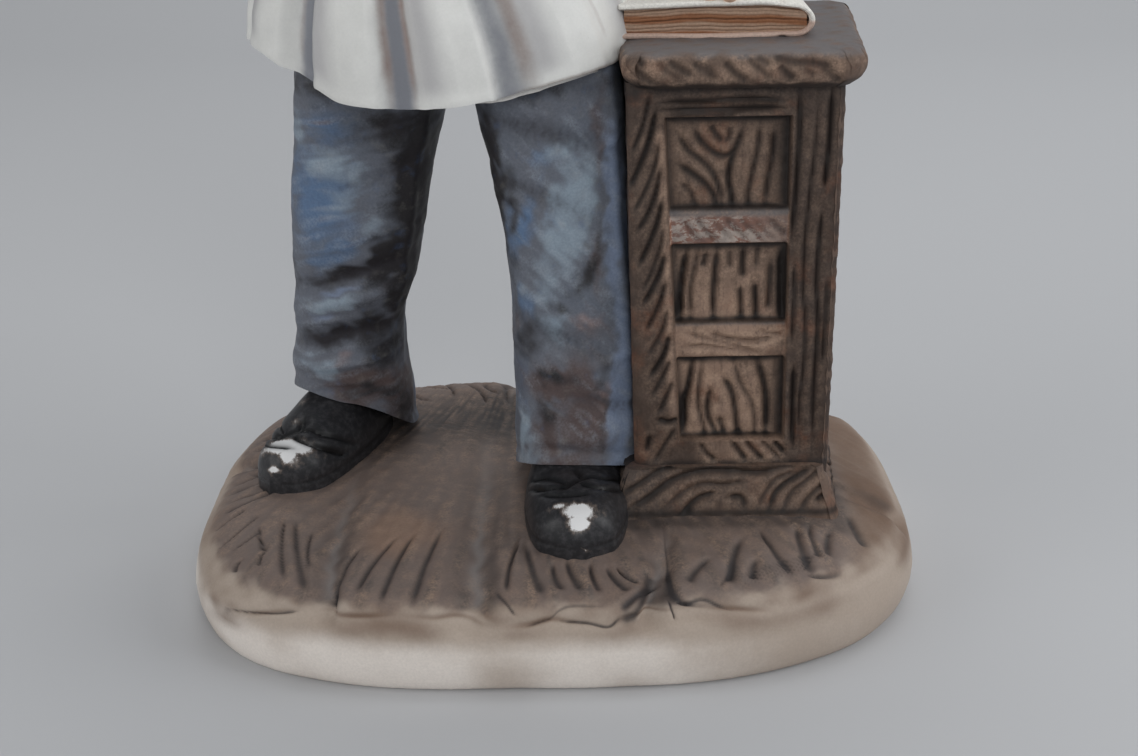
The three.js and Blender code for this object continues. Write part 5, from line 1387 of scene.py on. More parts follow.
def make_book():
    """Book: the cover is a thin plate carried from one board round the spine to the other, and the page
    block is a box whose sheets show as fine grooves."""
    left, right, front, back, foot, thick = (BOOK[k]
        for k in ("left", "right", "front", "back", "foot", "thick"))
    half, spine, t = (right - left) / 2, thick / 2, BOOK_COVER
    radius = spine - t / 2
    straight = 2 * half - spine
    arc = np.linspace(-90, 90, 30) * DEG
    run = np.linspace(0, straight, 46)[:-1]
    cx = np.concatenate([-half + run, -half + straight + radius * np.cos(arc), -half + run[::-1]])
    cz = np.concatenate([np.full(len(run), -radius), radius * np.sin(arc), np.full(len(run), radius)])
    ox = np.concatenate([np.zeros(len(run)), np.cos(arc), np.zeros(len(run))])
    oz = np.concatenate([np.full(len(run), -1.0), np.sin(arc), np.ones(len(run))])
    depth = back - front
    across = np.linspace(-depth / 2, depth / 2, 60)
    ring_y = np.concatenate([across, across[::-1]])
    thin = np.minimum(1, 0.35 + 1.6 * (depth / 2 - np.abs(ring_y)))
    off = np.concatenate([np.full(60, 0.5), np.full(60, -0.5)]) * t * thin
    px = cx[:, None] + ox[:, None] * off[None, :]
    pz = cz[:, None] + oz[:, None] * off[None, :]
    # A shallow hinge groove runs along each board beside the spine
    hinge = bump(cx - (half - spine - 2.2), 0.8)[:, None] * (off > 0) * 0.35
    pz = sag(px, pz - oz[:, None] * hinge, half, radius)
    py = np.broadcast_to(ring_y[None, :], px.shape)
    soft = 0.12 * np.sin(px * 0.21 + py * 0.13)
    cover = shell(np.stack([px, py, pz + soft], -1),
        {"groove": 0.8 * hinge + 0 * px, "layer": fade(pz, 0.5, -1.5)})
    page_x, page_y = half - spine * 0.4, depth / 2 - PAGE_INSET
    columns = [open_side(2 * page_x - PAGE_INSET, 0.6), open_side(2 * page_y, 1.2)] * 2
    around = perimeter(-half + PAGE_INSET, page_x, -page_y, page_y, columns)
    x, y, nx, ny = (v[None, :] for v in around[:4])
    z = np.linspace(-radius, radius, 64)[:, None]
    x, y, z, nx, ny = np.broadcast_arrays(x, y, z, nx, ny)
    sheet = lines(z + 0.12 * np.sin(x * 0.35) + 0.05 * np.sin(x * 1.3), 0.62, 0.13, 1.3)
    deep = 0.22 * sheet + 0.25 * (z / radius) ** 2
    layer = 0.5 + 0.5 * np.sin(z * 2.2 + 0.5 * np.sin(x * 0.13) + 0.25 * np.sin(x * 0.5) + 1.4)
    pages = shell(np.stack([x - nx * deep, y - ny * deep, sag(x, z, half, radius)], -1),
        {"groove": 0.6 * sheet, "layer": layer})

    def place(corners):
        x, y = turned(corners[:, 0], corners[:, 1], BOOK["turn"])
        return np.stack([x + (left + right) / 2, y + (front + back) / 2, corners[:, 2] + foot + thick / 2],
            -1)
    return placed(cover, place), placed(pages, place)


# Trousers and shoes

def fold_height(folds, angle, height):
    total = 0
    for level, rise, middle, reach, width, depth in folds:
        line = level + rise * angle * MM_PER_DEGREE
        total = total + depth * bump(height - line, width) * bump(angle - middle, reach)
    return total


def dabs(x, z, spots):
    """Soft slanted patches seen from the front: the highest of their bells. Each is x, z, half width, half
    height, slant in degrees, strength."""
    total = np.zeros(x.shape)
    for cx, cz, wide, tall, slant, strength in spots:
        u, v = turned(x - cx, z - cz, -slant)
        total = np.maximum(total, strength * np.exp(-((u / wide) ** 2 + (v / tall) ** 2)))
    return total


# Painted patches of the trousers: x, z, half width, half height, slant, strength
RIGHT_PATCHES = {
    "blue": [(-4.4, 68, 2.4, 6, -20, 0.85), (2.2, 69, 3, 4, 0, 0.5), (-4.4, 54, 1.8, 4.4, 0, 0.6),
             (-0.5, 80, 2.5, 3, 0, 0.5),
             (-5.2, 40, 1.4, 11, 0, 0.4)],
    "pale": [(4.6, 74, 3.4, 7, -10, 1.05), (2.6, 66, 4, 6, -10, 0.85), (2, 81, 3, 2.6, 0, 0.6),
             (-0.5, 58, 3, 5.4, -20, 0.6),
             (0.6, 50, 3.4, 3.6, 0, 0.65), (-4.6, 28, 1.5, 5.4, 0, 1.0), (5.4, 29, 2, 2.6, 0, 0.6),
             (13.8, 21, 1.3, 3, 0, 1.0)],
    "warm": [(2, 40, 7, 5, 0, 1.1), (6, 33, 6, 8, 0, 1.1), (8.6, 61, 1.8, 6, 0, 0.7),
             (9, 84, 1.5, 9, 2, 0.6), (4, 23, 8, 4, 0, 1.0),
             (-0.6, 30, 3, 6, 0, 0.9), (-7.4, 52, 1.4, 7, 5, 0.5), (7, 50, 4, 4, -30, 0.5)],
    "pink": [(6.4, 52, 2.6, 2.4, -10, 0.4), (9.6, 38, 2.4, 6, -20, 0.35), (10, 24, 2.4, 2.4, 0, 0.35)],
    "ridge_blue": [(11.8, 70, 1.9, 15, 2, 1.2), (12.6, 39, 2, 19, 0, 1.2)],
    # Dark paint, with painted shade under the coat's hem, down the inner side of the leg and in the deeper
    # folds
    "dark": [(-9, 74, 2.8, 16, 4, 1.1), (0, 92, 16, 3, 0, 0.5), (-6, 62, 1.8, 5, 15, 0.45),
             (6.6, 59, 2.2, 5, -38, 0.8),
             (1.8, 54, 2.8, 1.7, -30, 0.55), (-4.6, 47, 2.4, 5, -20, 0.65), (0, 41.4, 4, 2.4, -10, 0.75),
             (-0.8, 34, 2, 5.4, 0, 0.6),
             (15.2, 84, 1, 9, 0, 0.6), (9, 63, 1.1, 6, 0, 0.5), (8.4, 42, 2, 3, -20, 0.45),
             (9.6, 30, 1, 9, 0, 0.35)],
}
LEFT_PATCHES = {
    "blue": [(-40, 70, 6.4, 11, 0, 0.9), (-37, 84, 5, 4, 0, 0.65), (-38.6, 60, 6, 3.6, 15, 0.7)],
    "pale": [(-37.5, 77, 4, 4, 20, 0.8), (-33.5, 75.4, 2.6, 3.4, 20, 0.7), (-36, 70, 4, 3.6, 20, 0.6),
             (-31, 64.6, 2.6, 1.8, 30, 0.6),
             (-41, 49, 3.6, 1.6, 8, 1.1), (-37, 49.8, 2.8, 1.4, 12, 0.85), (-43, 36, 3.4, 2.1, -12, 1.1),
             (-43, 82, 2.2, 3, 0, 0.6)],
    "warm": [(-34, 31, 9, 5, -10, 1.0), (-28, 27, 6, 6, 0, 0.9), (-36, 86, 4, 3, 0, 0.3),
             (-31, 45, 4, 4, 0, 0.35),
             (-30, 52, 2, 5, -30, 0.4)],
    "pink": [(-38, 37, 3, 1.6, -10, 0.35)],
    "ridge_blue": [(-38.6, 51.8, 4.4, 1.2, 12, 0.7), (-41.6, 46.6, 3.4, 1.1, 6, 0.65),
                   (-36, 66, 4, 3, 20, 0.3)],
    # Dark paint, with painted shade under the coat's hem, down the inner side of the leg and in the deeper
    # folds
    "dark": [(-22.6, 72, 5, 20, -8, 1.2), (-24, 50, 6.6, 17, 0, 1.2), (-29, 58, 3.6, 8, -35, 1.1),
             (-33, 91, 14, 3.4, 0, 0.8),
             (-26, 83, 5.6, 6, 0, 0.8), (-36, 55.4, 8, 1.9, 12, 0.95), (-40, 42, 7, 2.4, 5, 1.0),
             (-33, 44, 4.4, 6, 0, 0.9),
             (-31, 38, 5, 5, 0, 0.8), (-28, 24, 7, 5, 0, 0.7), (-46.6, 54, 1.4, 4, 0, 0.5),
             (-33, 29.5, 8, 2, -14, 0.7)],
}
# The way the brush ran over each leg, in degrees above level
RIGHT_BRUSH = -42
LEFT_BRUSH = 18


# How strong each patch paint is at the back of the legs
BACK_PAINT = {"blue": 0.35, "pale": 0.3, "warm": 0.15, "pink": -0.2, "ridge_blue": 0.1, "dark": 0.12}


def make_leg(stations, folds, creases, hem, patches, brush, seed, around, rows):
    """A trouser leg: rounded square sections along a leaning line. Folds and fine creases move each point in
    or out, and the foot turns in to a closed, slightly raised underside. Its painted patches are pulled
    about by two sizes of ripple, and wisps run the way of the brush."""
    around = np.linspace(-math.pi, math.pi, around, endpoint=False)
    angle = (-90 * DEG + around - 0.35 * np.sin(around))[None, :]
    towards_high = np.cos(angle + (90 - hem["turn"]) * DEG)
    foot = blend(hem["low"], hem["high"], (towards_high + 1) / 2)
    share = np.linspace(0, 1, rows)[:, None]
    height = blend(foot, stations[-1][0], share)
    x, y, a, b = follow(stations, height)
    c, s = rounded(np.cos(angle), LEG_SQUARE), rounded(np.sin(angle), LEG_SQUARE)
    c, s = np.broadcast_to(c, height.shape), np.broadcast_to(s, height.shape)
    front = np.arctan2(c, -s) / DEG
    spot = np.stack([x + a * c, y + b * s, height], -1)
    broad, small, tiny = ripple(spot, 11, seed), ripple(spot, 3, seed + 1), ripple(spot, 1.1, seed + 2)
    folded = FOLD_SHARE * fold_height(folds, front, height)
    crease = fold_height(creases, front, height)
    back_folds = 0.5 * np.sin(height * 0.42 + 2.2 * np.cos(angle) + seed) * fade(s, 0.1, 0.8)
    lip = 0.3 * bump(height - foot, 1.2) - 0.12 * bump(height - foot - 2.6, 0.9)
    edge = PRESSED_EDGE["relief"] * bump(front - PRESSED_EDGE["angle"], PRESSED_EDGE["width"])
    out = folded + crease + edge + back_folds + lip + 0.16 * broad + 0.04 * small + 0.012 * tiny
    points = np.stack([x + (a + out) * c, y + (b + out) * s, height], -1)
    middle = np.array([float(x[0].mean()), float(y[0].mean()), 0])
    closing = []
    for k, lift in LEG_BOTTOM:
        ring = blend(points[0], middle, k)
        ring[:, 2] = foot[0] + lift
        closing.append(ring)
    whole = np.vstack([np.stack(closing), points])
    behind = fade(s, -0.35, 0.3)
    run, rise = turned(points[..., 0], points[..., 2], -brush)
    wisp = ripple(np.stack([0.22 * run + 0.1 * broad, 1.3 * rise + 0.5 * broad], -1), 2.4, seed + 20,
        waves=16)
    pulled_x, pulled_z = (
        points[..., axis] + 0.8 * ripple(spot, 8, seed + 30 + axis)
        + 0.35 * ripple(spot, 3, seed + 34 + axis)
        for axis in (0, 2)
    )
    paints = {}
    for k, (name, spots) in enumerate(patches.items()):
        seen_from_front = dabs(pulled_x, pulled_z, spots) + 0.1 * wisp + 0.05 * small
        paints[name] = blend(seen_from_front, BACK_PAINT[name] + 0.25 * ripple(spot, 10, seed + 4 + k),
            behind)
    relief = folded + crease
    masks = {
        "groove": np.clip(-relief * 0.7, 0, 0.7) + 0.1 * np.clip(-tiny, 0, 1),
        "ridge": np.clip(0.1 + relief * 0.5 + 0.4 * wisp, 0, 0.8) * (1 - paints["dark"].clip(0, 1)), **paints,
    }
    masks = {key: np.vstack([np.repeat(value[:1], 3, 0), value]).clip(0, 1) for key, value in masks.items()}
    # The closed underside inside the hem takes the dark paint: painted shade
    masks["dark"][:2] = 1
    middle[2] = (hem["low"] + hem["high"]) / 2 + 1.2
    return shell(whole, masks, ends=(middle, points[-1].mean(0)))


def make_shoe(stations, heel, turn, length, slim, patch, around, rows):
    """A shoe lofted from heel to toe: half-round sections with a flat sole, a welt line, a toe cap and a
    tongue."""
    share = (0.5 - 0.5 * np.cos(np.linspace(0.06, 1, rows) * math.pi))[:, None]
    share = np.clip(share, 0.001, 0.9995)
    half_width, height = follow(stations, share)
    end = (np.sqrt(np.clip(1 - ((share - 0.93) / 0.07).clip(0, 1) ** 2, 0.0, 1))
        * np.sqrt(1 - (1 - (share / 0.05).clip(0, 1)) ** 2))
    half_width, height = half_width * (0.35 + 0.65 * end), height * (0.55 + 0.45 * end)
    angle = np.linspace(0, 2 * math.pi, around, endpoint=False)[None, :]
    sine, cosine = np.sin(angle), np.cos(angle)
    above = sine > 0
    up = np.where(above, rounded(sine, 0.9) * height, rounded(sine, 0.5) * SHOE_DEPTH)
    side = half_width * slim * rounded(cosine, 0.8)
    along = share * length
    side, up, along = np.broadcast_arrays(side, up, along)
    # Below the hem a bow of two loops and a slanting tongue, and a low line where the sole begins
    welt = -0.25 * bump(up - 1.2, 0.4)
    down = along - np.maximum(up, 0)
    core, wide = carve(side, down, SHOE_GROOVES, 0.5)
    core, wide = core * (up > 3), wide * (up > 3)
    relief = (welt - 0.6 * core - 0.35 * wide) * np.sin(np.clip(share, 0, 1) * math.pi) ** 0.15
    size = np.hypot(side, up) + 1e-6
    side, up = side + relief * side / size, up + relief * up / size * above
    x, y = turned(side, -along, turn)
    points = np.stack([x + heel[0], y + heel[1], up + SHOE_FOOT], -1)
    shine = dabs(side, down, patch)
    masks = {"shine": shine, "groove": np.clip(-relief * 2, 0, 1)}
    ends = [
        np.array([*(np.array(turned(0.0, -d, turn)) + heel), SHOE_FOOT + rise])
        for d, rise in ((0, 2.6), (length, 1.6))
    ]
    return shell(points, masks, ends=ends)


# Coat

def flute_angle(w, height):
    """Angle of flute line w at a height: the front flutes lean towards the closure as they rise."""
    around = np.append(FLUTES, FLUTES[0] + 360)
    hem = np.interp(np.mod(w, len(FLUTES)), np.arange(len(around)), around)
    wrapped = np.where(hem > 180, hem - 360, hem)
    s = np.clip((height - COAT_FOOT) / 58, 0, 0.5)
    lean = FLUTE_LEAN["front"] - FLUTE_LEAN["spread"] * (wrapped - FLUTE_LEAN["middle"])
    return hem + s * lean * bump(wrapped, FLUTE_LEAN["reach"])


def coat_point(w, height, swell, shrink=1.0):
    """The coat's surface at flute line w and a height: an ellipse drawn in at each flute, and swollen
    outwards."""
    angle = flute_angle(w, height) * DEG
    x, y, a, b = follow(COAT, height)
    off = np.abs(w - np.round(w))
    shallow = np.mod(np.round(w), len(FLUTES)) == SHALLOW_FLUTE["number"]
    share, skirt = np.where(shallow, SHALLOW_FLUTE["share"], 1), 1 - fade(height, *FLUTE_FADE)
    k = (1 + FLUTE_DEPTH * skirt * (0.35 - 1.35 * share * (1 - fade(off, 0.09, 0.24)))) * shrink
    swell = swell + FULL_SIDE["swell"] * skirt * bump(w - FULL_SIDE["line"], FULL_SIDE["reach"])
    power = 1 / (1 + TORSO_SQUARE * fade(height, *TORSO_RISE))
    s, c = rounded(np.sin(angle), power), rounded(np.cos(angle), power)
    return np.stack([x + (a * k + swell) * s, y - (b * k + swell) * c, height + 0 * s], -1)


def hem_height(w):
    angle = flute_angle(w, COAT_FOOT)
    off = np.abs(w - np.round(w))
    hem = follow(HEM, np.where(angle > 180, angle - 360, angle))[0]
    return hem - FLUTE_DROP * (1.4 - fade(off, 0.05, 0.3))


def closure_x(z):
    return follow(CLOSURE, z)[0]


def make_coat_body(around, rows):
    """Coat: rows from the hem to the collar, closed below by a turned-in hem and a hollowed underside."""
    w = np.linspace(0, len(FLUTES), around, endpoint=False)[None, :]
    hem = hem_height(w)
    level = np.linspace(0, 1, rows)[:, None] ** 1.15
    z = blend(hem, COAT[-1][0], level)
    w, hem = np.broadcast_to(w, z.shape), np.broadcast_to(hem, z.shape)
    flat = coat_point(w, z, 0.0)
    front = flat[..., 1] < COAT[0][2]
    # Above the skirt the front edge laps over: a step up on one side of the closure, with a stitched line
    # beside it
    off_closure = flat[..., 0] - closure_x(z)
    lapped = front * (1 - fade(z, 145, 148)) * fade(z, 114, 120)
    lap = 0.5 * fade(off_closure, 0.2, -0.2) * fade(off_closure, -9, -1.5) * lapped
    seam, stitch = bump(off_closure - 0.3, 0.35) * lapped, 0.25 * bump(off_closure + 1.8, 0.3) * lapped
    off = np.abs(w - np.round(w))
    number = np.round(w)
    live = 1 - fade(z, 106, 134)
    waist = 0.5 * ripple(flat, 13, 61) * bump(z - 124, 16)
    pull = 0.35 * np.sin(z * 0.55 + 0.09 * flat[..., 0] * ~front) * bump(z - 121, 9)
    shallow = number % len(FLUTES) == SHALLOW_FLUTE["number"]
    dip = np.cos(math.pi * off) ** 2 * np.where(shallow, SHALLOW_FLUTE["share"], 1)
    crest = (0.85 + 0.2 * np.sin(6 * math.pi * w / len(FLUTES) + 1)) * (1 - dip) * live
    lip = 0.3 * bump(z - hem - 0.5, 1.0)
    swell = lap - 0.3 * seam - stitch + 0.4 * (waist + pull) + lip + crest + 0.05 * ripple(flat, 3.2, 62)
    points = coat_point(w, z, swell)
    ring = [coat_point(w[0], hem[0], 0.0, shrink) for shrink in (0.62, 0.93, 0.985)]
    ring[0][:, 2] = (hem[0] + COAT_FOOT + 1.3 * COAT_HOLLOW) / 2
    ring[1][:, 2], ring[2][:, 2] = hem[0] + 0.5, hem[0] - 0.1
    whole = np.vstack([np.stack(ring), points])
    strength = (1 - 0.75 * fade(z, 108, 136)) * (0.85 + 0.15 * np.sin(number * 2.1 + 0.7))
    faint = np.where(shallow, 0.8 * fade(z, 96, 101) * fade(w - number, 0.05, -0.05), 1)
    reach, aside, left_brown, right_brown = np.moveaxis(FLUTE_PAINT[number.astype(int) % len(FLUTES)], -1, 0)
    across = w - number - aside
    brown = np.where(across < 0, left_brown, right_brown) * (1 - 0.5 * fade(z - hem, 7, 0))
    # A darker line along the front of the hem's lower edge
    under = bump(z - hem, 0.45) * fade(flat[..., 0], -10, 0) * front
    masks = {
        "hollow": bump(across, reach) * strength * ~shallow,
        "border": bump(np.abs(across) - 0.8 * reach, 0.4 * reach) * brown * strength * faint,
        "shade": bump(w - number - 0.28, 0.14) * (1 - 0.7 * fade(z, 112, 140)) * fade(z - hem, 0, 4),
        "groove": np.clip(0.8 * seam + 0.5 * stitch + 0.6 * under, 0, 1),
    }
    masks = {key: np.vstack([np.repeat(value[:1], 3, 0), value]) for key, value in masks.items()}
    # Painted shade on the turned-in underside of the hem
    masks["groove"][:2] = 0.7
    x, y, _, _ = follow(COAT, np.array(COAT_FOOT))
    return shell(whole, masks,
        ends=((x, y, COAT_FOOT + COAT_HOLLOW), (COAT[-1][1], COAT[-1][2], COAT[-1][0] + 1)))


def make_lining(around=220):
    """The coat's second layer: a slightly smaller hem that shows below the first at the right of the
    front."""
    w = np.linspace(0, len(FLUTES), around, endpoint=False)
    hem = hem_height(w)
    angle = flute_angle(w, COAT_FOOT)
    wrapped = np.where(angle > 180, angle - 360, angle)
    drop = 1.1 * fade(wrapped, 6, 26) * (1 - fade(wrapped, 62, 84))
    rows = [(0.55, 3.2), (0.9, 0.5), (0.955, -1.0), (0.965, -0.9), (0.968, 0.0), (0.96, 3.0), (0.6, 6.0)]
    points = []
    for shrink, rise in rows:
        ring = coat_point(w, hem + rise, 0.0, shrink)
        ring[:, 2] = hem + 1 + rise - drop * (rise < 0.5) - (1 - drop / 1.1) * 0.3 * (rise < 0.5)
        points.append(ring)
    return shell(np.stack(points), {"border": 0.35, "groove": 0.2})


def coat_patch(span, levels, relief, sunk=-1.6, columns=120, rows=60):
    """A layer that lies on the coat: its outer side is the coat swollen by relief(x, z), which falls
    under the surface beyond the layer's border, and its inner side lies sunk inside the coat."""
    w = np.linspace(*span, columns)[None, :]
    z = np.linspace(*levels, rows)[:, None]
    w, z = np.broadcast_arrays(w, z)
    flat = coat_point(w, z, 0.0)
    rise, groove = relief(flat[..., 0], z)
    outer = coat_point(w, z, rise)
    inner = coat_point(w, z, sunk + 0 * z)[:, ::-1]
    masks = {"groove": np.hstack([groove, 0 * groove])}
    return shell(np.hstack([outer, inner]), masks)


def bordered(depth, relief, edge=0.3):
    """A layer's height from the depth inside its border, and the groove of the stitching beside it."""
    return (blend(-1.2, relief, fade(depth, -edge, edge)),
        0.8 * bump(depth - 1.1, 0.22) + 0.7 * bump(depth, 0.25))


def rectangle(box, cut=1.5):
    """A pocket's outline: its two lower corners are cut off."""
    left, right, foot, top = box
    return [(left, top), (left, foot + cut), (left + cut, foot), (right - cut, foot), (right, foot + cut),
        (right, top)]


def make_coat_layers():
    """Lapels, breast pocket and half belt, each a layer on the coat."""
    mirrored = [(2 * NECK_MIDDLE[0] - x, z) for x, z in LAPEL][::-1]

    def lapels(x, z):
        depth = np.maximum(inside(x, z, LAPEL), inside(x, z, mirrored))
        return bordered(depth, LAPEL_RELIEF)

    def breast(x, z):
        return bordered(inside(x, z, rectangle(BREAST_POCKET)), POCKET_RELIEF)

    def belt(x, z):
        left, right, foot, top = HALF_BELT
        depth = np.minimum.reduce([x - left, right - x, z - foot, top - z])
        return bordered(depth, 0.9)
    return [
        coat_patch((2.9, 6.1), (137.5, 167.5), lapels, columns=150, rows=80),
        coat_patch((3.6, 6.3), (139, 150), breast, columns=110, rows=36),
        coat_patch((8.1, 10.9), (122.6, 128.4), belt, columns=110, rows=26),
    ]


def make_buttons():
    """Buttons along the closure: flat-topped discs with a rim and two holes."""
    parts = []
    for z in BUTTONS:
        x = float(closure_x(np.array(float(z)))) - 1.6
        radius, rise = np.array(BUTTON_PROFILE).T
        radius = radius * BUTTON_RADIUS
        angle = np.linspace(0, 2 * math.pi, 36, endpoint=False)
        mid, cy, a, b = follow(COAT, np.array(float(z)))
        y = cy - b * 1.03 * np.sqrt(max(0.05, 1 - ((x - mid) / (a * 1.03)) ** 2)) + 0.1
        out = np.array([(x - mid) / a ** 2, (y - cy) / b ** 2, 0.0])
        out = out / np.linalg.norm(out)
        side = np.array([-out[1], out[0], 0])
        ring = np.cos(angle)[None, :, None] * side + np.sin(angle)[None, :, None] * np.array([0, 0, 1.0])
        points = np.array([x, y, z]) + radius[:, None, None] * ring + rise[:, None, None] * out
        radius = radius[:, None]
        holes = bump(radius * np.abs(np.cos(angle)) - 0.35, 0.2) * bump(radius * np.sin(angle), 0.25)
        groove = np.clip(holes * (rise[:, None] > 0) + 0.4 * bump(radius - 0.75, 0.12), 0, 1)
        parts.append(shell(points, {"groove": groove}))
    return parts


def make_sleeve(stations, seed, sides=110, rows=130):
    """A sleeve: round sections carried along a smooth line, with rings of cloth that crowd in the bend and a
    cuff."""
    last = len(stations) - 1
    indexed = [(i / last, *station) for i, station in enumerate(stations)]
    share = np.linspace(0.0, 1, rows)
    x, y, z, radius = follow(indexed, share)
    middle = np.stack([x, y, z], -1)
    ahead = np.stack(follow(indexed, np.minimum(share + 0.02, 1))[:3], -1)
    behind = np.stack(follow(indexed, np.maximum(share - 0.02, 0))[:3], -1)
    forward = ahead - behind
    forward /= np.linalg.norm(forward, axis=1)[:, None]
    side = np.cross(SLEEVE_ACROSS, forward)
    side /= np.linalg.norm(side, axis=1)[:, None]
    up = np.cross(forward, side)
    angle = np.linspace(0, 2 * math.pi, sides, endpoint=False)[None, :]
    s = share[:, None]
    wave = np.sin(s * 5 * 2 * math.pi + 1.5 * np.cos(angle))
    bend = bump(s - 0.55, 0.16)
    finer = np.sin(s * 15 * 2 * math.pi + 2.4 * np.cos(angle + seed))
    live = fade(s, 0.1, 0.3) * (1 - fade(s, 0.85, 0.93))
    cuff = 0.5 * fade(s, 0.915, 0.925) - 0.3 * bump(s - 0.91, 0.006)
    ring = (0.4 * wave + 0.35 * finer * bend) * live + cuff
    reach = radius[:, None] + ring
    points = middle[:, None, :] + reach[..., None] * (
        np.cos(angle)[..., None] * side[:, None, :] + np.sin(angle)[..., None] * up[:, None, :]
    )
    mouth = []
    for k, back in ((0.97, -0.1), (0.86, 0.2), (0.80, 2.2)):
        centre = middle[-1] - forward[-1] * back
        mouth.append(centre + (points[-1] - middle[-1]) * k)
    whole = np.vstack([points, np.stack(mouth)])
    groove = np.clip(-(0.7 * wave * 0.6 + finer * bend * 0.6) * live, 0, 1) * 0.45
    groove = groove + 0.8 * bump(s - 0.91, 0.006)
    # Painted shade inside the cuff's mouth, darkest at its end
    groove = np.vstack([groove, np.full((3, sides), 0.3)])
    groove[-1] = 1
    return shell(whole, {"groove": np.clip(groove, 0, 1)},
        ends=(points[0].mean(0), middle[-1] - forward[-1] * 2.2))


def make_collar(sides=120):
    """A standing collar: an open-topped ring that leans out a little and dips at the throat."""
    c = COLLAR
    foot, top = c["foot"], c["top"]
    profile = [(0, 0.5, foot), (1, 1.14, foot), (2, 1.1, top - 3), (3, 1, top - 0.5), (4, 0.9, top),
        (5, 0.78, top - 4)]
    share, z = follow(profile, np.linspace(0, 5, 44))
    share, z = share[:, None], z[:, None]
    angle = np.linspace(0, 2 * math.pi, sides, endpoint=False)[None, :]
    forward = -np.sin(angle)
    dip = c["dip"] * np.maximum(forward, 0) ** 2 * fade(z, foot, foot + 2)
    x = NECK_MIDDLE[0] + c["half_width"] * share * np.cos(angle)
    y = NECK_MIDDLE[1] + c["half_depth"] * share * np.sin(angle)
    x, y, z, angle = np.broadcast_arrays(x, y, z - dip, angle)
    slit = bump(x - NECK_MIDDLE[0], 0.35) * (np.sin(angle) < 0)
    seam = bump(z - (top - 5.2 - dip), 0.3)
    points = np.stack([x, y + 0.35 * slit, z], -1)
    return shell(points, {"groove": np.clip(0.8 * slit + 0.4 * seam, 0, 1)},
        ends=((*NECK_MIDDLE, foot), (*NECK_MIDDLE, top - 4)))


# Head

def head_matrix():
    turn = Matrix.Rotation(HEAD_PLACE["turn"] * DEG, 4, "Z")
    nod = Matrix.Rotation(HEAD_PLACE["nod"] * DEG, 4, "X")
    return np.array(Matrix.Translation(HEAD_PLACE["centre"]) @ turn @ nod)


def on_head(points):
    matrix = head_matrix()
    return np.asarray(points) @ matrix[:3, :3].T + matrix[:3, 3]


def head_point(angle, height):
    """The head's surface at an angle from the face and a height: a squared ellipse, with the face's features
    added to its front as bells."""
    a, front, back = follow(HEAD, height)
    x = a * rounded(np.sin(angle), HEAD_SQUARE)
    c = rounded(np.cos(angle), HEAD_SQUARE)
    relief = 0
    for across, up, wide, tall, rise in FACE:
        relief = relief + rise * bump(np.abs(x) - across, wide) * bump(height - up, tall) * fade(c, 0, 0.4)
    return np.stack([x, (front + back) / 2 - (back - front) / 2 * c - relief, height + 0 * x], -1)


def make_head(around=260, rows=200):
    angle = np.linspace(-math.pi, math.pi, around, endpoint=False)[None, :]
    angle = angle - 0.5 * np.sin(angle)
    t = np.linspace(0, 1, rows)
    t = blend(t, 0.5 - 0.5 * np.cos(t * math.pi), 0.7)[:, None]
    height = blend(HEAD[0][0], HEAD[-1][0], t)
    angle, height = np.broadcast_arrays(angle, height)
    points = head_point(angle, height)
    x, z = points[..., 0], height
    face = np.cos(angle) > 0.2
    side = np.abs(x)
    eye = np.exp(-((side - 4.1) / 1.75) ** 4 - ((z - 1.85) / 0.62) ** 2 * 2)
    masks = {
        "blush": 0.45 * bump(side - 6, 2.4) * bump(z + 3.4, 2.4) * face,
        "lip": 0.75 * bump(x, 2.7) * bump(z + 8.5, 0.95) * face,
        "brow": 0.75 * bump(side - 4.2, 2.5) * bump(z - 5.0 + 0.03 * (side - 4) ** 2, 0.42) * face,
        "white": fade(eye, 0.3, 0.7) * face, "iris": fade(np.hypot(side - 4.1, z - 1.8), 0.78, 0.55) * face,
        "groove": np.clip(0.7 * bump(x, 2.9) * bump(z + 8.45, 0.2)
            + 0.8 * bump(side - 4.1, 2.0) * bump(z - 2.55, 0.22), 0, 1) * face,
    }
    ends = [np.append(points[k, :, :2].mean(0), height[k, 0]) for k in (0, -1)]
    return placed(shell(points, masks, ends=ends), on_head)


def make_hair(around=320, rows=120):
    """Hair: the head's surface swollen about its middle, which sinks into it below the hairline, combed into
    locks."""
    angle = np.linspace(-math.pi, math.pi, around, endpoint=False)[None, :]
    t = np.linspace(0.004, 1, rows)
    share = blend(t, 0.5 - 0.5 * np.cos(t * math.pi), 0.7)[:, None]
    height = blend(HAIR["nape"] - 1.5, HEAD[-1][0], share)
    angle, height, share = np.broadcast_arrays(angle, height, share)
    forward = np.cos(angle)
    hairline = np.where(
        forward > 0.45, blend(HAIR["temple"], HAIR["brow"], fade(forward, 0.45, 0.8)),
        blend(HAIR["nape"], HAIR["temple"], fade(forward, -0.2, 0.25)),
    )
    cover = fade(height, hairline - 0.5, hairline + 0.7)
    calm = 1 - share ** 3
    lock = HAIR["lock_depth"] * np.sin(angle * HAIR["locks"] + height * 0.5) * calm
    strands = np.sin(angle * 46 + height * 1.1 + 2 * np.sin(height * 0.6)) * calm
    swell = 1 + ((HAIR["thick"] + lock + 0.14 * strands) * cover - HAIR["sink"] * (1 - cover)) / HEAD_REACH
    middle = np.array(HAIR_MIDDLE, float)
    points = middle + (head_point(angle, height) - middle) * swell[..., None]
    masks = {"groove": np.clip(0.45 - 0.45 * strands - 0.5 * lock / HAIR["lock_depth"], 0, 1) * calm}
    return placed(shell(points, masks), on_head)


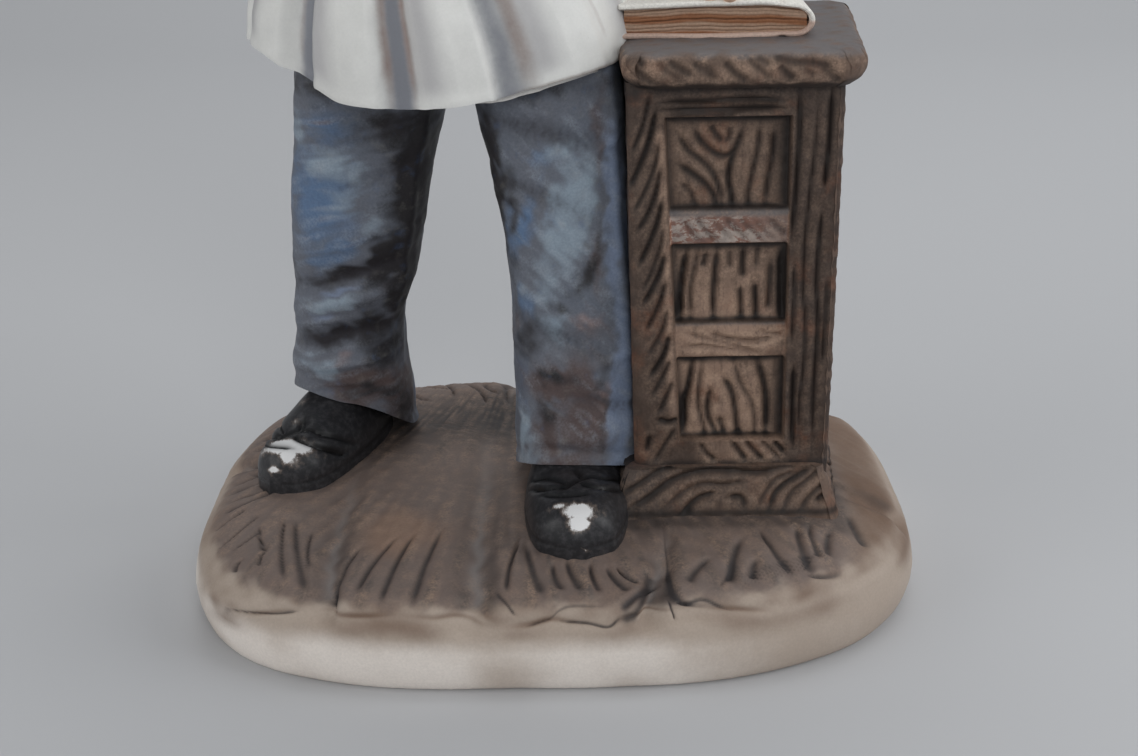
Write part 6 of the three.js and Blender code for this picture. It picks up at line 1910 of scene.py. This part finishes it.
def make_ball(centre, half, change=None, around=40, rows=26):
    """An ellipsoid: circles stacked from pole to pole, moved by an optional function."""
    t = np.linspace(0.03, 0.97, rows)[:, None] * math.pi
    angle = np.linspace(0, 2 * math.pi, around, endpoint=False)[None, :]
    unit = np.stack([np.sin(t) * np.cos(angle), np.sin(t) * np.sin(angle), -np.cos(t) + 0 * angle], -1)
    part = shell(unit * np.array(half), ends=((0, 0, -half[2]), (0, 0, half[2])))
    shift = np.array(centre, float)
    return placed(part, lambda corners: (change(corners) if change else corners) + shift)


def make_head_trim():
    """Nose, ears and neck."""
    root, tip = (on_head(np.array(NOSE[k], float)) for k in ("root", "tip"))
    parts = [limb(root, tip, NOSE["root_radius"], NOSE["tip_radius"])]
    for side in (-1, 1):
        start = on_head(np.array([side * 1.4, NOSE["tip"][1] + 0.3, NOSE["tip"][2] - 0.4]))
        end = on_head(np.array([side * 1.3, NOSE["tip"][1] + 1.8, NOSE["tip"][2] - 0.2]))
        parts.append(limb(start, end, NOSE["wing"], NOSE["wing"]))

        def shape(corners, side=side):
            dent = 1 - (0.35 * bump(corners[:, 1] + 0.3, 0.9)
                * bump(corners[:, 2] - 0.6, 1.9) * (corners[:, 0] * side > 0))
            x, y, z = corners[:, 0] * dent, corners[:, 1], corners[:, 2]
            y, z = turned(y, z, -10)
            x, y = turned(x, y, side * -22)
            return np.stack([x, y, z], -1)
        ear = make_ball((side * EAR["across"], EAR["along"], EAR["up"]), EAR["half"], shape)
        parts.append(placed(ear, on_head))
    parts.append(limb((*NECK_MIDDLE, NECK["foot"]), (-21, 3.4, NECK["top"]), NECK["radius"] + 1,
        NECK["radius"], sides=72))
    return parts


def make_tooth():
    """The tooth in the forceps: a crown with four low cusps, and two roots."""
    (x, y, z), radius, height = TOOTH["crown"], TOOTH["radius"], TOOTH["height"]

    def cusps(corners):
        out = corners.copy()
        top = fade(corners[:, 2], 0.6, 1.8)
        out[:, 2] += top * 0.35 * (np.cos(corners[:, 0] * 2.6) * -1) * 0.8
        out[:, 2] -= top * 0.45 * bump(corners[:, 0], 0.5)
        return out
    parts = [make_ball((x, y, z + 1.4), (radius, radius * 0.9, height / 2), cusps)]
    for side in (-1, 1):
        parts.append(limb((x + side * 1.2, y, z), (x + side * 1.2, y, z - 3.4), 0.95, 0.5))
    return parts


# Settings

def colour_setting(name, text, value):
    return bpy.props.FloatVectorProperty(name=name, description=text, subtype="COLOR", default=value[:3],
        min=0, max=1)


def count_setting(name, text, value):
    return bpy.props.IntProperty(name=name, description=text, default=value, min=12, max=2000)


class FigurineBase(bpy.types.PropertyGroup):
    around: count_setting("Around", "Columns of the base's mesh round its plan", 780)
    side_rows: count_setting("Side Rows", "Rows from the wall's middle to the shoulder", 46)
    top_rows: count_setting("Top Rows", "Rows from the shoulder to the middle", 68)
    cream: colour_setting("Cream", "Bare band round the foot", seen(154, 142, 131))
    stone: colour_setting("Stone", "Wash on the flagstones", seen(102, 89, 82))


class FigurineCabinet(bpy.types.PropertyGroup):
    step: bpy.props.FloatProperty(
        name="Step", description="Spacing of the carved surface's points", default=0.0004, min=0.0002,
        max=0.005,
        subtype="DISTANCE", unit="LENGTH",
    )
    wood: colour_setting("Wood", "Brown of the carved wood's palest panel", seen(124, 102, 88))


class FigurineTrousers(bpy.types.PropertyGroup):
    around: count_setting("Around", "Columns round each leg", 230)
    rows: count_setting("Rows", "Rows from the hem to the coat", 190)
    cloth: colour_setting("Cloth", "Grey blue of the trousers", seen(86, 88, 95))


class FigurineCoat(bpy.types.PropertyGroup):
    around: count_setting("Around", "Columns round the coat", 440)
    rows: count_setting("Rows", "Rows from the hem to the collar", 130)
    white: colour_setting("White", "White of the coat", seen(194, 194, 191))


class FigurineStage(bpy.types.PropertyGroup):
    backdrop: colour_setting("Backdrop", "Grey of the floor and the wall behind", seen(160, 161, 163))


# Operators

class MakeBase(bpy.types.Operator):
    """Adds the flagstone base"""
    bl_idname = "figurine.base"
    bl_label = "Base"

    def execute(self, context):
        cast("flagstone_base", [(make_base(), paint("Flagstone", stone_colour, marks=0.1, depth=0.06))])
        return {"FINISHED"}


class MakeCabinet(bpy.types.Operator):
    """Adds the panelled cabinet with its plinth and slab"""
    bl_idname = "figurine.cabinet"
    bl_label = "Cabinet"

    def execute(self, context):
        step = context.scene.figurine_cabinet.step / MM
        wood = paint("Carved Wood", wood_colour, marks=0.45, depth=0.16)
        for name, part in (("cabinet", make_cabinet_body), ("cabinet_plinth", make_plinth),
                ("cabinet_slab", make_slab)):
            cast(name, [(part(step), wood)])
        return {"FINISHED"}


class MakeBook(bpy.types.Operator):
    """Adds the closed book on the slab"""
    bl_idname = "figurine.book"
    bl_label = "Book"

    def execute(self, context):
        cover, pages = make_book()
        white = paint("Book Cover",
            layered_colour(seen(196, 192, 186), seen(172, 150, 138), seen(120, 98, 84)))
        sheets = paint("Book Pages", layered_colour(seen(146, 122, 104), seen(122, 82, 56), seen(66, 46, 36)))
        cast("book", [(cover, white), (pages, sheets)])
        return {"FINISHED"}


class MakeTrousers(bpy.types.Operator):
    """Adds the trousers and the shoes"""
    bl_idname = "figurine.trousers"
    bl_label = "Trousers and Shoes"

    def execute(self, context):
        settings = context.scene.figurine_trousers
        cloth = paint("Washed Blue Cloth", cloth_colour, marks=0.1, depth=0.08)
        leather = paint("Black Leather", leather_colour, rough=0.42, marks=0.15, depth=0.06, coat=0.12)
        for name, leg in (
            ("right_trouser_leg",
                (RIGHT_LEG, RIGHT_FOLDS, RIGHT_CREASES, RIGHT_HEM, RIGHT_PATCHES, RIGHT_BRUSH, 70)),
            ("left_trouser_leg",
                (LEFT_LEG, LEFT_FOLDS, LEFT_CREASES, LEFT_HEM, LEFT_PATCHES, LEFT_BRUSH, 90)),
        ):
            cast(name, [(make_leg(*leg, settings.around, settings.rows), cloth)])
        for name, shoe in zip(("right_shoe", "left_shoe"), SHOES):
            cast(name, [(make_shoe(**shoe, around=160, rows=130), leather)])
        return {"FINISHED"}


class MakeCoat(bpy.types.Operator):
    """Adds the white coat with its sleeves, lapels, breast pocket, belt and buttons"""
    bl_idname = "figurine.coat"
    bl_label = "Coat"

    def execute(self, context):
        settings = context.scene.figurine_coat
        white = paint("White Coat", coat_colour, rough=0.5, marks=0.05, depth=0.03, coat=0.1)
        parts = [make_coat_body(settings.around, settings.rows), make_lining(), *make_coat_layers(),
            *make_buttons()]
        parts += [make_sleeve(RIGHT_SLEEVE, 1.0), make_sleeve(LEFT_SLEEVE, 2.0), make_collar()]
        cast("coat", [(part, white) for part in parts])
        return {"FINISHED"}


class MakeHead(bpy.types.Operator):
    """Adds the head with its hair"""
    bl_idname = "figurine.head"
    bl_label = "Head"

    def execute(self, context):
        skin = paint("Painted Skin", skin_colour, rough=0.55, marks=0.15, depth=0.06)
        hair = paint("Painted Hair",
            plain_colour(srgb(104, 80, 62), srgb(84, 64, 50), srgb(48, 36, 30), 120.0))
        cast("head", [(make_head(), skin), *((part, skin) for part in make_head_trim()), (make_hair(), hair)])
        return {"FINISHED"}


class MakeHands(bpy.types.Operator):
    """Adds both hands, the forceps and the tooth"""
    bl_idname = "figurine.hands"
    bl_label = "Hands"

    def execute(self, context):
        skin = paint("Painted Skin", skin_colour, rough=0.55, marks=0.15, depth=0.06)
        steel = paint("Grey Forceps",
            plain_colour(srgb(140, 142, 146), srgb(112, 114, 120), srgb(60, 60, 64)), rough=0.4)
        ivory = paint("Ivory Tooth",
            plain_colour(srgb(232, 226, 208), srgb(216, 204, 180), srgb(150, 126, 96)), rough=0.45)
        parts = [(limb(*part), skin) for part in RIGHT_HAND] + [(limb(*part), steel) for part in FORCEPS]
        cast("right_hand", parts + [(part, ivory) for part in make_tooth()])
        cast("left_hand", [(limb(*part), skin) for part in LEFT_HAND])
        return {"FINISHED"}


class MakeStage(bpy.types.Operator):
    """Adds the floor, the lights and the camera"""
    bl_idname = "figurine.stage"
    bl_label = "Stage"

    def execute(self, context):
        grey = bpy.data.materials.new("Backdrop Paper")
        grey.use_nodes = True
        surface = grey.node_tree.nodes["Principled BSDF"]
        surface.inputs["Base Color"].default_value = (*context.scene.figurine_stage.backdrop, 1)
        surface.inputs["Roughness"].default_value = 0.9
        floor = to_object("backdrop", backdrop_sheet(), grey)
        for name, place, size, power, colour in LIGHTS:
            lamp = bpy.data.lights.new(name, "AREA")
            lamp.shape, lamp.size, lamp.size_y = "RECTANGLE", size[0], size[1]
            lamp.energy, lamp.color = power, colour
            light = bpy.data.objects.new(name, lamp)
            light.location = place
            light.rotation_euler = (Vector((0, 0, 0.07)) - light.location).to_track_quat("-Z", "Y").to_euler()
            context.scene.collection.objects.link(light)
        world = bpy.data.worlds.new("Studio")
        world.use_nodes = True
        world.node_tree.nodes["Background"].inputs["Color"].default_value = (0.9, 0.95, 1.0, 1)
        world.node_tree.nodes["Background"].inputs["Strength"].default_value = WORLD_LIGHT
        context.scene.world = world
        context.scene.view_settings.view_transform = "Standard"
        add_camera(context.scene)
        return {"FINISHED"}


# Lights: name, place in metres, width and height, power, colour
LIGHTS = [
    ("left_softbox", (-0.85, -0.4, 0.42), (0.8, 0.6), 2.4, (1.0, 0.99, 0.98)),
    ("right_softbox", (0.85, -0.15, 0.5), (0.7, 0.7), 3.3, (0.98, 0.99, 1.0)),
    ("top_softbox", (0.15, 0.45, 0.95), (1.0, 0.8), 3.9, (1.0, 1.0, 1.0)),
    ("front_softbox", (0.15, -0.95, 0.6), (0.5, 0.4), 2.6, (1.0, 1.0, 1.0)),
]
WORLD_LIGHT = 0.17
# Backdrop: bend, rear face, half width, places of its front rows, height, thickness, gap below the base
PAPER = {
    "radius": 600.0, "back": 1100.0, "side": 2200.0, "front": (-1500, -800), "top": 2200, "thick": 1.0,
    "gap": 0.05,
}


def backdrop_sheet():
    """A sheet of paper: flat on the floor, then curved up behind, carried across the width."""
    radius, back, side = PAPER["radius"], PAPER["back"], PAPER["side"]
    arc = np.linspace(0, 90, 40) * DEG
    y = np.concatenate([PAPER["front"], back - radius + radius * np.sin(arc), [back]])
    z = np.concatenate([[0, 0], radius - radius * np.cos(arc), [PAPER["top"]]])
    x = np.linspace(-side, side, 12)
    ring_x = np.concatenate([x, x[::-1]])
    sunk = np.repeat([0.0, PAPER["thick"]], len(x))
    points = np.stack([
        np.broadcast_to(ring_x, (len(y), len(ring_x))),
        y[:, None] + sunk * (z[:, None] > radius / 2),
        z[:, None] - PAPER["gap"] - sunk,
    ], -1)
    return shell(points)


def add_camera(scene):
    """The camera at the photograph's angle, from its place, its tilt down and its roll."""
    down, roll = CAMERA["down"] * DEG, CAMERA["roll"] * DEG
    right, up = Vector((1, 0, 0)), Vector((0, math.sin(down), math.cos(down)))
    forward = Vector((0, math.cos(down), -math.sin(down)))
    side = right * math.cos(roll) - up * math.sin(roll)
    over = right * math.sin(roll) + up * math.cos(roll)
    data = bpy.data.cameras.new("Camera")
    data.lens, data.sensor_width = CAMERA["lens"], CAMERA["sensor"]
    camera = bpy.data.objects.new("Camera", data)
    turn = Matrix((side, over, -forward)).transposed().to_4x4()
    camera.matrix_world = Matrix.Translation(Vector(CAMERA["place"]) * MM) @ turn
    scene.collection.objects.link(camera)
    scene.camera = camera


class FigurinePanel(bpy.types.Panel):
    """Lists the figurine's settings and pieces"""
    bl_idname = "VIEW3D_PT_figurine"
    bl_label = "Dentist Figurine"
    bl_space_type = "VIEW_3D"
    bl_region_type = "UI"
    bl_category = "Figurine"

    def draw(self, context):
        for group in (name for name, _ in GROUPS):
            settings = getattr(context.scene, group)
            for key in type(settings).__annotations__:
                self.layout.prop(settings, key)
        for operator in OPERATORS:
            self.layout.operator(operator.bl_idname)


GROUPS = [
    ("figurine_base", FigurineBase), ("figurine_cabinet", FigurineCabinet),
    ("figurine_trousers", FigurineTrousers),
    ("figurine_coat", FigurineCoat), ("figurine_stage", FigurineStage),
]
OPERATORS = [MakeBase, MakeCabinet, MakeBook, MakeTrousers, MakeCoat, MakeHead, MakeHands, MakeStage]
CLASSES = [group for _, group in GROUPS] + OPERATORS + [FigurinePanel]


def register():
    for kind in CLASSES:
        bpy.utils.register_class(kind)
    for name, group in GROUPS:
        setattr(bpy.types.Scene, name, bpy.props.PointerProperty(type=group))


def unregister():
    for name, _ in GROUPS:
        delattr(bpy.types.Scene, name)
    for kind in reversed(CLASSES):
        bpy.utils.unregister_class(kind)


def main():
    register()
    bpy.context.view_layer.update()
    for operator in OPERATORS:
        group, name = operator.bl_idname.split(".")
        getattr(getattr(bpy.ops, group), name)()
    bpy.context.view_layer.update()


if __name__ == "__main__":
    main()
